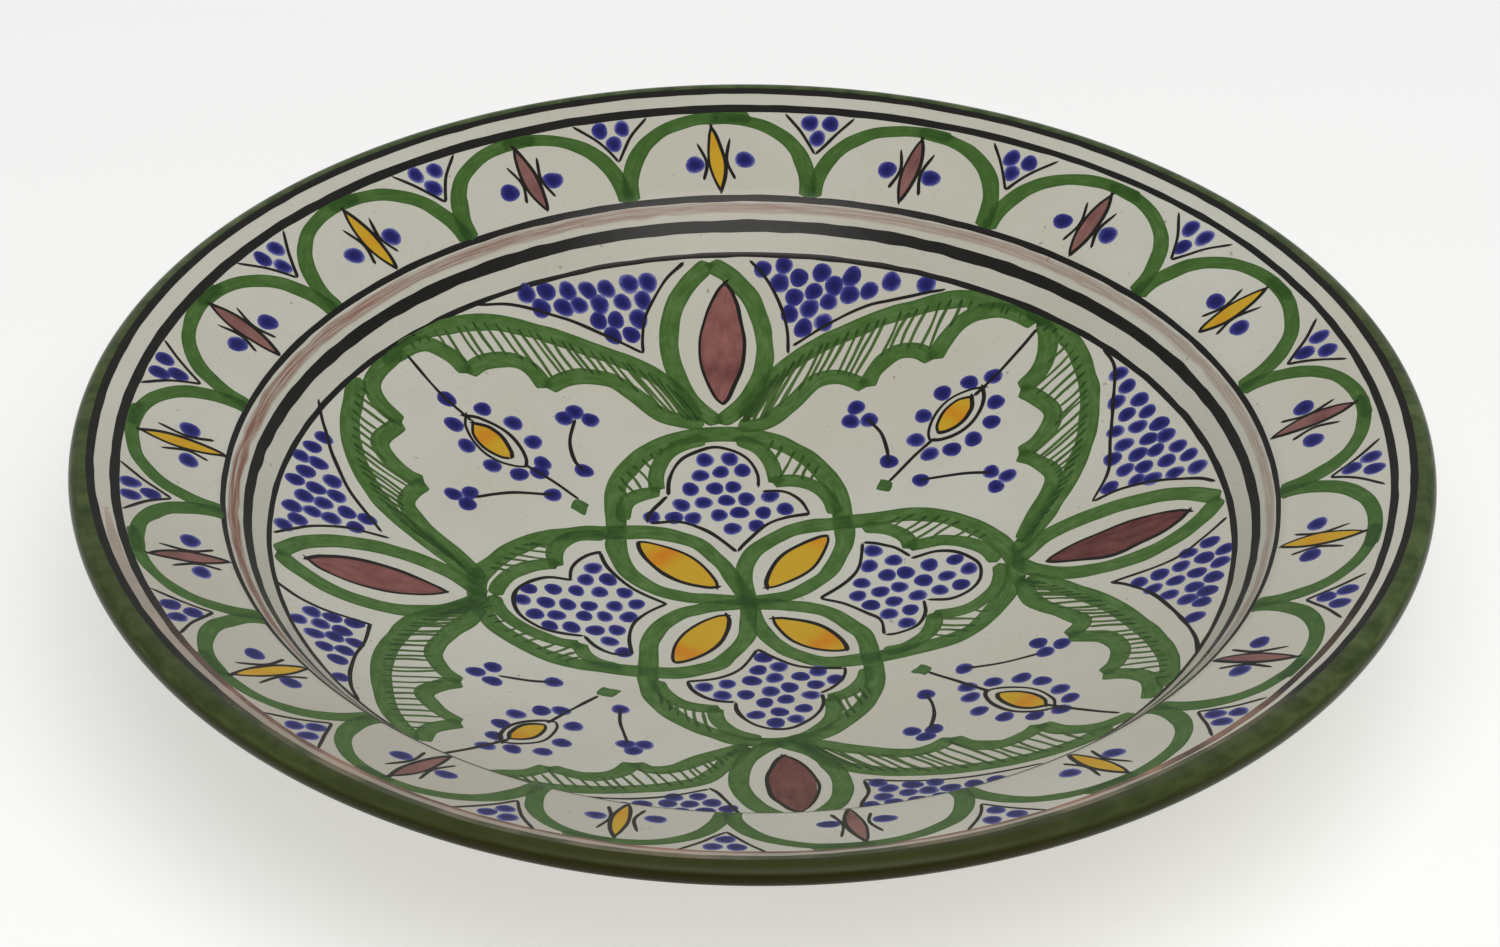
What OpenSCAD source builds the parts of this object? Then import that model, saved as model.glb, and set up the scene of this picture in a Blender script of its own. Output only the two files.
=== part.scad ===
// Hand painted ceramic plate: a turned, deep dish with a flange and a rounded lip,
// glazed cream white, with a green lip and a painted pattern of thin colour films.
// The foot stands on z = 0, +Z is up, the axis of the dish is the Z axis,
// and the pattern's four pointed ovals lie on the X and Y axes.

/* [Dish] */
// Overall diameter of the plate
plate_d = 346; // [320:2:400]
// Height of the well's middle above the table
well_floor_z = 13; // [11:0.5:16]
// Radius of the sphere that the well is part of
well_sphere_r = 295; // [280:5:320]
// Radius of the well's edge
well_edge_r = 124; // [122:0.5:126]
// Radius of the ridge where the shoulder meets the flange
ridge_r = 134.8; // [134:0.2:136]
// Rise of the shoulder from the well's edge to the ridge
shoulder_rise = 13; // [11:0.5:15]
// Slope of the flange in degrees
flange_slope = 23; // [20:0.5:25]
// Thickness of the fired wall, glaze included
wall_t = 8; // [7:0.5:9]

/* [Foot] */
// Outer radius of the foot ring
foot_outer_r = 72; // [68:1:80]
// Width of the foot ring's resting face
foot_w = 8; // [6:0.5:10]

/* [Layers] */
// Thickness of the glaze
glaze_t = 0.5; // [0.4:0.1:0.7]
// Thickness of a painted colour film
paint_t = 0.3; // [0.3:0.05:0.4]

/* [Border pattern] */
// Number of arches round the flange
arch_count = 17; // [15:1:19]
// Width of a green brush band on the flange
arch_band_w = 3.2; // [2.6:0.1:3.8]
// Diameter of the dots on the flange
border_dot_d = 4.6; // [3.6:0.1:5]

/* [Well pattern] */
// Width of a green brush band in the well
well_band_w = 5.2; // [4.4:0.1:5.6]
// Diameter of the dots in the well
well_dot_d = 4; // [3.2:0.1:4.2]
// Width of a thin black line
line_w = 0.8; // [0.6:0.1:1.2]

/* [Hidden] */
$fn = 96;

// ---- the turned profile ----
plate_r = plate_d / 2;
sphere_z = well_floor_z + well_sphere_r;
well_edge_z = sphere_z - sqrt(well_sphere_r * well_sphere_r - well_edge_r * well_edge_r);
ridge_z = well_edge_z + shoulder_rise;
crest_r = plate_r - 3.6;
crest_w = 4;                  // width of the rounded-off band inside the crest
crest_drop = 0.6;             // how far that band bends down from the flange's slope
crest_z = ridge_z + (crest_r - ridge_r) * tan(flange_slope) - crest_drop;
nose_r = 2.6;                 // radius of the lip's rounded nose
lip_t = 5.4;                  // thickness of the lip at its nose
foot_inner_r = foot_outer_r - foot_w;
foot_chamfer = 1.2;
under_r = well_sphere_r + wall_t;

function arc(c, r, a0, a1, n) =
    [for (i = [0:n]) let (a = a0 + (a1 - a0) * i / n) [c[0] + r * cos(a), c[1] + r * sin(a)]];
function flange_z(r) = ridge_z + (r - ridge_r) * tan(flange_slope);
function shoulder_z(r) = well_edge_z + (r - well_edge_r) * shoulder_rise / (ridge_r - well_edge_r);
function well_z(r) = sphere_z - sqrt(well_sphere_r * well_sphere_r - r * r);
function under_z(r) = sphere_z - sqrt(under_r * under_r - r * r);
function reverse(p) = [for (i = [len(p) - 1:-1:0]) p[i]];

// the corners of the upper side, where its straight stretches meet
well_edge = [well_edge_r, well_edge_z];
ridge_inside = [ridge_r - 1, shoulder_z(ridge_r - 1)];
ridge_outside = [ridge_r + 1.4, flange_z(ridge_r + 1.4)];
flange_top = [crest_r - crest_w, flange_z(crest_r - crest_w)];
crest = [crest_r, crest_z];

// upper side, from the axis out to the lip's crest
face_line = concat(
    [for (i = [0:11]) let (r = well_edge_r * i / 12) [r, well_z(r)]],
    [well_edge, ridge_inside, ridge_outside, flange_top, crest]
);
// the lip's nose, from the crest round to the underside
nose_c = [plate_r - nose_r, crest_z - nose_r - 0.4];
lip_back = [crest_r - crest_w, crest_z - lip_t];
lip_line = concat([crest], arc(nose_c, nose_r, 62, -72, 10), [lip_back]);
// the underside, from the lip in to the foot ring
flange_back = [ridge_r + 6.4, ridge_z - 4.8];
bowl_back_r = well_edge_r + 5;
bowl_back_step = (bowl_back_r - foot_outer_r) / 8;
back_line = concat(
    [lip_back, flange_back],
    [for (r = [bowl_back_r:-bowl_back_step:foot_outer_r]) [r, under_z(r)]],
    [[foot_outer_r, foot_chamfer]]
);
// the unglazed foot, with both edges broken
foot_line = [
    [foot_outer_r, foot_chamfer], [foot_outer_r - foot_chamfer, 0],
    [foot_inner_r + foot_chamfer, 0], [foot_inner_r, foot_chamfer]
];
// the recess inside the foot ring, in to the axis
recess_line = concat(
    [[foot_inner_r, foot_chamfer]],
    [for (i = [0:6]) let (r = foot_inner_r * (6 - i) / 6) [r, under_z(r)]]
);

// a line moved sideways into the clay by d (the lines run clockwise round the section)
function unit(v) = v / norm(v);
function side(v) = [v[1], -v[0]];
function moved(p, d) = [
    for (i = [0:len(p) - 1])
        let (
            before = unit(p[max(i, 1)] - p[max(i, 1) - 1]),
            after = unit(p[min(i + 1, len(p) - 1)] - p[min(i, len(p) - 2)]),
            n = unit(side(before + after)),
            q = p[i] + n * d / (n * side(after))
        )
        [p[i][0] == 0 ? 0 : q[0], q[1]]
];
// one skin of glaze under a stretch of the outline
module skin(line) {
    rotate_extrude() polygon(concat(line, reverse(moved(line, glaze_t))));
}

module clay_body() {
    color("#c98f6b")
    rotate_extrude()
    polygon(concat(
        moved(face_line, glaze_t), moved(lip_line, glaze_t), moved(back_line, glaze_t),
        foot_line, moved(recess_line, glaze_t)
    ));
}
module face_glaze() {
    color("#cdc8bb") skin(face_line);
}
module back_glaze() {
    color("#c6c0b0") {
        skin(back_line);
        skin(recess_line);
    }
}
module lip_green_glaze() {
    color("#3f5f2c") skin(lip_line);
}

// ---- painted rings ----
// a film of width w round radius r, on the straight stretch of the section from a to b
module painted_ring(a, b, r, w) {
    along = unit(b - a);
    up = -side(along) * paint_t;
    start = a + along * (r - w / 2 - a[0]) / along[0];
    end = a + along * (r + w / 2 - a[0]) / along[0];
    rotate_extrude() polygon([start, end, end + up, start + up]);
}
rim_inner_r = 161.4;          // middle of the rim's inner line
rim_inner_w = 2.2;
module rim_line_outer() {
    color("#262322") painted_ring(flange_top, crest, crest_r - 1.6, 2.6);
}
module rim_line_inner() {
    color("#262322") painted_ring(ridge_outside, flange_top, rim_inner_r, rim_inner_w);
}
module border_foot_line() {
    color("#262322") painted_ring(ridge_inside, ridge_outside, ridge_r + 0.2, 1.1);
}
module ridge_brown_wash() {
    color("#b98c78") painted_ring(well_edge, ridge_inside, ridge_r - 2.4, 2.2);
}
module shoulder_black_band() {
    color("#2b2f3a") painted_ring(well_edge, ridge_inside, ridge_r - 5.8, 2);
}
module well_edge_line() {
    color("#262322") painted_ring(well_edge, ridge_inside, well_edge_r + 0.6, 1);
}

// ---- brush strokes in plan ----
// a point of a cubic curve with control points c, and a path of n steps along it
function at(c, t) = c[0] * pow(1 - t, 3) + c[1] * 3 * t * pow(1 - t, 2)
    + c[2] * 3 * t * t * (1 - t) + c[3] * pow(t, 3);
function path(c, n) = [for (i = [0:n]) at(c, i / n)];
// a band of width w along a path
module ribbon(path, w) {
    polygon(concat(moved(path, w / 2), reverse(moved(path, -w / 2))));
}
// a leaf shape along X with pointed ends
module almond(length, w) {
    n = 8;
    edge = [for (i = [0:n]) let (x = -1 + 2 * i / n) [x * length / 2, w / 2 * (1 - x * x)]];
    polygon(concat(edge, [for (i = [n - 1:-1:1]) [edge[i][0], -edge[i][1]]]));
}
module almond_line(length, w) {
    difference() {
        almond(length + 3 * line_w, w + 1.6 * line_w);
        almond(length, w);
    }
}
// films that follow the well's sphere and the flange's cone
module on_well() {
    intersection() {
        translate([0, 0, sphere_z]) difference() {
            sphere(well_sphere_r);
            sphere(well_sphere_r - paint_t);
        }
        linear_extrude(well_edge_z + 5) children();
    }
}
module on_flange() {
    r0 = ridge_outside[0] + 0.1;
    r1 = rim_inner_r - rim_inner_w / 2 - 0.1;
    intersection() {
        painted_ring(ridge_outside, flange_top, (r0 + r1) / 2, r1 - r0);
        linear_extrude(crest_z) children();
    }
}
// a dot, as a thin disc that leans with the surface
module well_dot(p, d = well_dot_d) {
    r = norm(p);
    rotate(atan2(p[1], p[0]))
    translate([0, 0, sphere_z])
    rotate([0, -asin(r / well_sphere_r), 0])
    translate([0, 0, -well_sphere_r])
    cylinder(h = paint_t, d = d, $fn = 24);
}
module flange_dot(r, a, d) {
    rotate(a)
    translate([r, 0, flange_z(r)])
    rotate([0, -flange_slope, 0])
    cylinder(h = paint_t, d = d, $fn = 24);
}

// ---- the border: arches with a petal each, and dotted corners between them ----
arch_step = 360 / arch_count;
first_arch = 87.5;            // direction of the arch at the back, in degrees
arch_foot_r = ridge_r + 2;
arch_crown_r = rim_inner_r - 1 - arch_band_w / 2;
petal_r = 148.5;
// which petals are yellow, going clockwise from the arch at the back
yellow = [0, 3, 5, 7, 9, 11, 13, 15];
function is_yellow(i) = len(search(i, yellow)) > 0;
function polar(r, a) = [r * cos(a), r * sin(a)];
function arch_path(a) = [
    for (i = [0:10]) let (t = 180 * i / 10)
    polar(arch_foot_r + (arch_crown_r - arch_foot_r) * sin(t), a + cos(t) * arch_step * 0.47)
];
module each_arch() {
    for (i = [0:arch_count - 1]) rotate(first_arch - i * arch_step) children();
}
module border_green_arches() {
    color("#3e702c") on_flange()
    for (i = [0:arch_count - 1]) ribbon(arch_path(first_arch - i * arch_step), arch_band_w);
}
module border_petals(want_yellow) {
    on_flange()
    for (i = [0:arch_count - 1]) if (is_yellow(i) == want_yellow)
        rotate(first_arch - i * arch_step) translate([petal_r, 0]) almond(17, 3.8);
}
module border_yellow_petals() {
    color("#d9a11f") border_petals(true);
}
module border_mauve_petals() {
    color("#a86b66") border_petals(false);
}
module border_blue_dots() {
    color("#22248c") each_arch() {
        for (s = [-1, 1]) flange_dot(petal_r - 2, s * 3, border_dot_d);
        rotate(arch_step / 2) {
            for (s = [-1, 1]) flange_dot(157.4, s * 0.95, border_dot_d - 0.8);
            flange_dot(153, 0, border_dot_d - 1.2);
        }
    }
}
module border_black_strokes() {
    color("#262322") on_flange() each_arch() {
        translate([petal_r, 0]) almond_line(17, 3.8);
        for (s = [-1, 1]) ribbon([polar(141, s * 1.9), polar(145, s * 1.35), polar(151.5, s * 1.9)], line_w);
        rotate(arch_step / 2)
        for (s = [-1, 1]) ribbon([polar(149.5, s * 0.25), polar(154, s * 1), polar(159.8, s * 2.7)], line_w);
    }
}

// ---- the middle: four rings through the centre, a trefoil in each ----
ring_c = 32.5;                // distance of a ring's centre from the plate's axis
ring_r = 33;                  // its outer radius
module quarters() {
    for (k = [0:3]) rotate(90 * k) children();
}
// three lobes, drawn along +Y
module trefoil(grow) {
    translate([0, 47]) circle(13.5 + grow);
    for (s = [-1, 1]) translate([s * 12.5, 37]) circle(11 + grow);
    translate([0, 30]) circle(8 + grow);
}
// the two neighbouring rings, which cut a trefoil off
module neighbours(grow) {
    for (s = [-1, 1]) translate([s * ring_c, 0]) circle(ring_r + grow);
}
module quatrefoil_green_bands() {
    color("#3e702c") on_well() quarters() {
        translate([0, ring_c]) difference() {
            circle(ring_r);
            circle(ring_r - well_band_w);
        }
        difference() {
            trefoil(4);
            trefoil(0);
            neighbours(-2);
        }
    }
}
module quatrefoil_yellow_petals() {
    color("#d9a11f") on_well() quarters() rotate(45) translate([20.8, 0]) almond(26, 10.5);
}

// ---- the four mandorlas on the axes ----
mandorla_r = 96;
module mandorla_green_bands() {
    color("#3e702c") on_well() quarters() translate([mandorla_r, 0]) difference() {
        almond(55, 31);
        almond(43, 20);
    }
}
module mandorla_mauve_almonds() {
    color("#8d5552") on_well() quarters() translate([mandorla_r, 0]) almond(39, 14);
}

// ---- the four large leaves on the diagonals (one half drawn, then mirrored) ----
leaf_rim = [[8, 72], [24, 103], [62, 110], [86, 87.5]];
leaf_scallops = [
    [[8, 69], [22, 72], [28, 92], [39, 77]],
    [[39, 77], [46, 88], [52, 88], [58.5, 82.5]],
    [[58.5, 82.5], [67, 95], [80, 93], [84, 85]],
];
module both_halves() {
    quarters() {
        children();
        mirror([1, -1]) children();
    }
}
module leaf_green_bands() {
    color("#3e702c") on_well() both_halves() {
        ribbon(path(leaf_rim, 10), well_band_w - 0.6);
        for (scallop = leaf_scallops) ribbon(path(scallop, 7), well_band_w - 1);
    }
}
module leaf_green_hatching() {
    color("#35632a") on_well() both_halves()
    for (i = [0:11]) {
        outer_end = at(leaf_rim, 0.19 + 0.048 * i);
        inner_end = at(leaf_scallops[floor(i / 4)], 0.28 + 0.2 * (i % 4));
        reach = inner_end - outer_end;
        ribbon([outer_end + reach * 0.28, outer_end + reach * 0.7], line_w);
    }
}
module green_buds() {
    color("#3e702c") on_well() quarters() rotate(45) translate([55, 0]) almond(7, 5);
}
leaf_almond_r = 87;
module leaf_yellow_almonds() {
    color("#d9a11f") on_well() quarters() rotate(45) translate([leaf_almond_r, 0]) almond(14, 7.5);
}

// ---- dots and lines of the well ----
// rows of a dotted corner beside a mandorla: [radius, first angle from the oval's axis, dots]
corner_rows = [[118.6, 8.2, 8], [113, 10.4, 6], [107.4, 10.8, 4], [101.8, 11.4, 2]];
dot_gap = 5.6;
// rows of a trefoil: [distance from the centre, dots]
trefoil_rows = [[57, 3], [51, 4], [45, 4], [39, 6], [33.4, 2]];
module well_blue_dots() {
    color("#22248c") {
        both_halves()
        for (row = corner_rows) for (k = [0:row[2] - 1])
            well_dot(polar(row[0], 90 - row[1] - k * dot_gap / row[0] * 180 / PI));
        quarters() for (row = trefoil_rows) for (k = [0:row[1] - 1])
            well_dot([(k - (row[1] - 1) / 2) * 5.6, row[0]]);
        quarters() rotate(45) for (k = [0:10])
            well_dot([leaf_almond_r, 0] + [14.5 * cos(16.4 + 32.8 * k), 11.5 * sin(16.4 + 32.8 * k)]);
        both_halves() for (p = [[42, 49.3], [34, 65.5], [38.6, 66.5], [35.6, 70.6]]) well_dot(p);
    }
}
module well_black_strokes() {
    color("#262322") on_well() {
        both_halves() {
            ribbon(path([[12, 120], [16, 113], [19, 104], [19, 93]], 4), line_w);
            ribbon(path([[20.5, 93], [32, 100], [46, 104], [62, 103.5]], 4), line_w);
            ribbon(path([[37.5, 62.5], [41, 59], [41.6, 56], [41.8, 52]], 3), line_w);
        }
        quarters() {
            difference() {
                trefoil(-2.2);
                trefoil(-3);
                neighbours(1.6);
            }
            translate([mandorla_r, 0]) almond_line(39, 14);
            rotate(45) {
                translate([20.8, 0]) almond_line(26, 10.5);
                translate([leaf_almond_r, 0]) almond_line(14, 7.5);
                translate([leaf_almond_r, 0]) almond_line(19, 12);
                translate([69.5, -line_w / 2]) square([6, line_w]);
                translate([59, -line_w / 2]) square([8, line_w]);
                translate([104.5, -line_w / 2]) square([14, line_w]);
            }
        }
    }
}

clay_body();
face_glaze();
back_glaze();
lip_green_glaze();
rim_line_outer();
rim_line_inner();
border_foot_line();
ridge_brown_wash();
shoulder_black_band();
well_edge_line();
border_green_arches();
border_yellow_petals();
border_mauve_petals();
border_blue_dots();
border_black_strokes();
quatrefoil_green_bands();
mandorla_green_bands();
leaf_green_bands();
leaf_green_hatching();
green_buds();
quatrefoil_yellow_petals();
leaf_yellow_almonds();
mandorla_mauve_almonds();
well_blue_dots();
well_black_strokes();
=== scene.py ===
"""Looks of a hand painted ceramic dish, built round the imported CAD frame.

The clay, the glaze and the green lip are turned bodies whose section is read off the CAD
nodes. Every painted mark is a thin closed film that lies on the glaze: strokes with a
wavering edge, and dots. Pattern places are in millimetres in plan, on the dish's own axes.
"""

import math

import bpy
import numpy as np
from mathutils import Matrix, Vector


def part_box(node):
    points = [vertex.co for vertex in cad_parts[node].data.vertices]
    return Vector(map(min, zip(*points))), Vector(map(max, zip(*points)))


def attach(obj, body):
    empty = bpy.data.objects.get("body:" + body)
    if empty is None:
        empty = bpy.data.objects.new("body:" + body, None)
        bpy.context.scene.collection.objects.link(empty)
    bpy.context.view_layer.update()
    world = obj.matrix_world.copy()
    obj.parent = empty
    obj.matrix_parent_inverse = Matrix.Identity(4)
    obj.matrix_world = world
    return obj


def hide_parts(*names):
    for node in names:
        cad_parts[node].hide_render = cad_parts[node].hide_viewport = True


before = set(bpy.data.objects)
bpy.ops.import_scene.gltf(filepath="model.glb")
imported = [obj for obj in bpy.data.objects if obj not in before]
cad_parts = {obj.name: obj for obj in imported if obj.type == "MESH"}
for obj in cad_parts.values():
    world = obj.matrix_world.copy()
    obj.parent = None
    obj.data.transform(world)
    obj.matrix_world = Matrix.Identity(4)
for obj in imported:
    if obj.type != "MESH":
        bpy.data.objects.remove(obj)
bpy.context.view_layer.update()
MM = 0.001
rng = np.random.default_rng(12)

# ---------------------------------------------------------------- camera, light and floor

LENS_MM = 114.1
VIEW_DISTANCE = 1.2098
VIEW_ELEVATION = math.radians(35.14)
AIM_HEIGHT = 0.0646
SENSOR_MM = 36
VIEW_AZIMUTH = math.radians(6)
PAN, TILT, ROLL = (math.radians(a) for a in (-0.03, -0.42, 0.66))
KEY_PLACE = (0.05, -0.73, 1.43)
KEY_SIZE = 1.3
KEY_WATTS = 11.6
ROOM_LIGHT = 0.44
FLOOR_RADIUS = 9.0
FLOOR_GLOW = 0.3


def turned(a, b, angle):
    """Vectors a and b turned in their own plane."""
    c, s = math.cos(angle), math.sin(angle)
    return c * a + s * b, -s * a + c * b


def make_camera():
    target = Vector((0, 0, AIM_HEIGHT))
    across = Vector((math.cos(VIEW_AZIMUTH), -math.sin(VIEW_AZIMUTH), 0))
    away = Vector((math.sin(VIEW_AZIMUTH), math.cos(VIEW_AZIMUTH), 0))
    forward = away * math.cos(VIEW_ELEVATION) - Vector((0, 0, math.sin(VIEW_ELEVATION)))
    upward = across.cross(forward)
    place = target - forward * VIEW_DISTANCE
    forward, across = turned(forward, across, PAN)
    forward, upward = turned(forward, upward, TILT)
    across, upward = turned(across, upward, ROLL)
    data = bpy.data.cameras.new("camera")
    data.lens, data.sensor_width, data.clip_end = LENS_MM, SENSOR_MM, 50
    camera = bpy.data.objects.new("camera", data)
    bpy.context.scene.collection.objects.link(camera)
    axes = Matrix((across, upward, -forward)).transposed()
    camera.matrix_world = Matrix.Translation(place) @ axes.to_4x4()
    bpy.context.scene.camera = camera


def make_light(name, place, size, watts, colour):
    data = bpy.data.lights.new(name, "AREA")
    data.shape, data.size, data.energy, data.color = "DISK", size, watts, colour
    lamp = bpy.data.objects.new(name, data)
    lamp.location = place
    lamp.rotation_euler = (-Vector(place)).to_track_quat("-Z", "Y").to_euler()
    bpy.context.scene.collection.objects.link(lamp)


def make_studio():
    make_light("key", KEY_PLACE, KEY_SIZE, KEY_WATTS, (1.0, 0.99, 0.97))
    world = bpy.data.worlds.new("studio")
    bpy.context.scene.world = world
    world.use_nodes = True
    background = world.node_tree.nodes["Background"]
    background.inputs["Color"].default_value = (0.93, 0.94, 0.95, 1)
    background.inputs["Strength"].default_value = ROOM_LIGHT
    bpy.context.scene.view_settings.view_transform = "Standard"


# ---------------------------------------------------------------- node helpers

GAIN = 1.30              # surface colour over screen colour, under this light
SHEEN = 0.012            # what the glaze's reflection of the room adds to every colour
GLOSS = 0.34             # the glaze's roughness, and how much it varies from place to place
GLOSS_SPREAD = 0.08
SPECULAR = 0.3           # the glaze's specular level
RIPPLE = 0.00022         # height of the ripples in the glaze, m


def paint(*rgb):
    """The surface colour that shows as this screen colour (0-255) under this scene's light."""
    out = []
    for c in rgb:
        c /= 255
        light = c / 12.92 if c <= 0.04045 else ((c + 0.055) / 1.055) ** 2.4
        out.append(max(light - SHEEN, 0.0015) * GAIN)
    return (*out, 1.0)


class Tree:
    """A material's node tree, with short calls for the nodes that these materials use."""

    def __init__(self, name):
        self.material = bpy.data.materials.new(name)
        self.material.use_nodes = True
        self.nodes = self.material.node_tree.nodes
        self.links = self.material.node_tree.links
        self.bsdf = self.nodes["Principled BSDF"]
        self.place = self.add("ShaderNodeTexCoord").outputs["Object"]

    def put(self, socket, value):
        if isinstance(value, bpy.types.NodeSocket):
            self.links.new(value, socket)
        else:
            socket.default_value = value

    def add(self, kind, inputs=(), **settings):
        node = self.nodes.new(kind)
        for key, value in settings.items():
            setattr(node, key, value)
        for key, value in dict(inputs).items():
            self.put(node.inputs[key], value)
        return node

    def mix(self, factor, a, b):
        return self.add("ShaderNodeMix", {0: factor, 6: a, 7: b}, data_type="RGBA").outputs[2]

    def calc(self, operation, a, b=0.0, clamp=False):
        return self.add("ShaderNodeMath", {0: a, 1: b}, operation=operation, use_clamp=clamp).outputs[0]

    def plus(self, a, b, clamp=False):
        return self.calc("ADD", a, b, clamp)

    def minus(self, a, b):
        return self.calc("SUBTRACT", a, b)

    def times(self, a, b, clamp=False):
        return self.calc("MULTIPLY", a, b, clamp)

    def joined(self, x, y, z=0.0):
        return self.add("ShaderNodeCombineXYZ", {0: x, 1: y, 2: z}).outputs[0]

    def split(self, vector):
        return self.add("ShaderNodeSeparateXYZ", {0: vector}).outputs

    def noise(self, scale, detail, roughness=0.5, vector=None):
        values = {"Vector": vector or self.place, "Scale": scale, "Detail": detail, "Roughness": roughness}
        return self.add("ShaderNodeTexNoise", values).outputs[0]

    def swing(self, noise, size):
        """Noise of this size about zero."""
        return self.times(self.minus(noise, 0.5), size)

    def step(self, value, low, high):
        """0 below low, 1 above high, smooth between."""
        values = {0: value, 1: low, 2: high, 3: 0.0, 4: 1.0}
        return self.add("ShaderNodeMapRange", values, interpolation_type="SMOOTHSTEP").outputs[0]

    def ramp(self, value, stops):
        node = self.add("ShaderNodeValToRGB", {0: value})
        elements = node.color_ramp.elements
        while len(elements) < len(stops):
            elements.new(0.5)
        for element, (position, colour) in zip(elements, stops):
            element.position, element.color = position, colour
        return node.outputs[0]

    def brush(self):
        """A mesh's own coordinates.

        On a stroke they are across it -1..1, along it in cm, and its tone. On a dot the first is
        the distance from its middle, and on a turned body how much the surface faces up.
        """
        parts = self.split(self.add("ShaderNodeAttribute", attribute_name="brush").outputs["Vector"])
        return parts[0], parts[1], parts[2]

    def glaze(self, colour, roughness):
        """Finishes the material as glaze: satin gloss over a skin with faint ripples and pits."""
        self.put(self.bsdf.inputs["Base Color"], colour)
        uneven = self.times(self.noise(90, 4), GLOSS_SPREAD)
        self.put(self.bsdf.inputs["Roughness"], self.plus(uneven, roughness - GLOSS_SPREAD / 2))
        height = self.plus(self.noise(110, 2), self.times(self.noise(1500, 2), 0.12))
        bump = self.add("ShaderNodeBump", {"Strength": 0.35, "Distance": RIPPLE, "Height": height})
        self.put(self.bsdf.inputs["Normal"], bump.outputs[0])
        self.bsdf.inputs["IOR"].default_value = 1.5
        self.bsdf.inputs["Specular IOR Level"].default_value = SPECULAR
        return self.material


# ---------------------------------------------------------------- materials


def cream_colour(t):
    broad = t.step(t.noise(11, 3), 0.35, 0.7)
    colour = t.mix(broad, paint(189, 188, 177), paint(184, 181, 168))
    cloudy = t.times(t.step(t.noise(75, 4), 0.45, 0.75), 0.35)
    colour = t.mix(cloudy, colour, paint(180, 176, 164))
    # painted shade: towards the rim on the side to the left of the camera the glaze is darker and a little
    # browner
    place = t.split(t.place)
    painted_shade_side = t.plus(t.times(place[0], -0.75), t.times(place[1], -0.66))
    colour = t.mix(t.times(t.step(painted_shade_side, 0.08, 0.16), 0.45), colour, paint(158, 150, 138))
    grain = t.times(t.step(t.noise(1100, 2), 0.60, 0.72), 0.22)
    colour = t.mix(grain, colour, paint(150, 140, 122))
    specks = t.times(t.step(t.noise(420, 1), 0.765, 0.80), 0.5)
    return t.mix(specks, colour, paint(112, 96, 78))


def cream_glaze():
    t = Tree("cream_glaze")
    return t.glaze(cream_colour(t), GLOSS)


def brushed(name, light, middle, dark, streak=0.5, mottle=0.35, edge=0.18, base=0.32):
    """Brushed colour: lengthwise streaks, mottling, darker where strokes overlap and pool."""
    t = Tree(name)
    across, along, tone = t.brush()
    lengthwise = t.swing(t.noise(1.7, 4, 0.6, t.joined(t.times(across, 1.5), along, tone)), streak)
    spotted = t.swing(t.noise(190, 4, 0.6), mottle)
    pooled = t.times(t.calc("POWER", t.calc("ABSOLUTE", across), 5.0), edge)
    depth = t.plus(t.plus(lengthwise, spotted), t.plus(pooled, tone))
    depth = t.plus(depth, base, clamp=True)
    stops = [(0.0, paint(*light)), (0.45, paint(*middle)), (1.0, paint(*dark))]
    return t.glaze(t.ramp(depth, stops), GLOSS - 0.02)


def dotted(name):
    """Soft dots: deep blue in the middle, paler and uneven at the rim."""
    t = Tree(name)
    radius, _, tone = t.brush()
    depth = t.plus(t.plus(radius, t.swing(t.noise(520, 3, 0.6), 0.5)), tone, clamp=True)
    stops = [
        (0.0, paint(30, 28, 76)), (0.5, paint(38, 37, 97)),
        (0.8, paint(54, 54, 118)), (0.98, paint(104, 107, 156)),
    ]
    return t.glaze(t.ramp(depth, stops), GLOSS - 0.02)


def ridge_wash():
    """A thin brown wash, soft at its sides, that lets the cream through."""
    t = Tree("brown_wash")
    across, along, tone = t.brush()
    drawn_out = t.joined(t.times(across, 2.4), t.times(along, 0.3))
    streaks = t.step(t.noise(1.6, 5, 0.65, drawn_out), 0.3, 0.62)
    soft = t.minus(1.0, t.calc("POWER", t.calc("ABSOLUTE", across), 4.0))
    thin = t.times(t.times(soft, tone), t.plus(t.times(streaks, 0.75), 0.25), clamp=True)
    wash = t.mix(t.noise(90, 3), paint(140, 102, 88), paint(120, 84, 72))
    return t.glaze(t.mix(thin, cream_colour(t), wash), GLOSS)


def fading_black(name, near_side_pale=(150, 116, 100), near_side_deep=(104, 82, 72)):
    """Black rings that fade to another colour, then to a thin wash, where their tone is high: painted
    reflection and haze towards the camera.
    """
    t = Tree(name)
    tone = t.brush()[2]
    black = t.mix(t.noise(150, 4), paint(29, 28, 26), paint(42, 41, 38))
    haze_and_wash = t.mix(t.step(t.noise(70, 4), 0.35, 0.65), paint(*near_side_pale), paint(*near_side_deep))
    patchy = t.plus(tone, t.swing(t.noise(60, 4), 0.6))
    colour = t.mix(t.step(patchy, 0.35, 0.85), black, haze_and_wash)
    thin = t.times(t.step(tone, 1.1, 1.6), 0.6)
    return t.glaze(t.mix(thin, colour, cream_colour(t)), GLOSS - 0.04)


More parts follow.
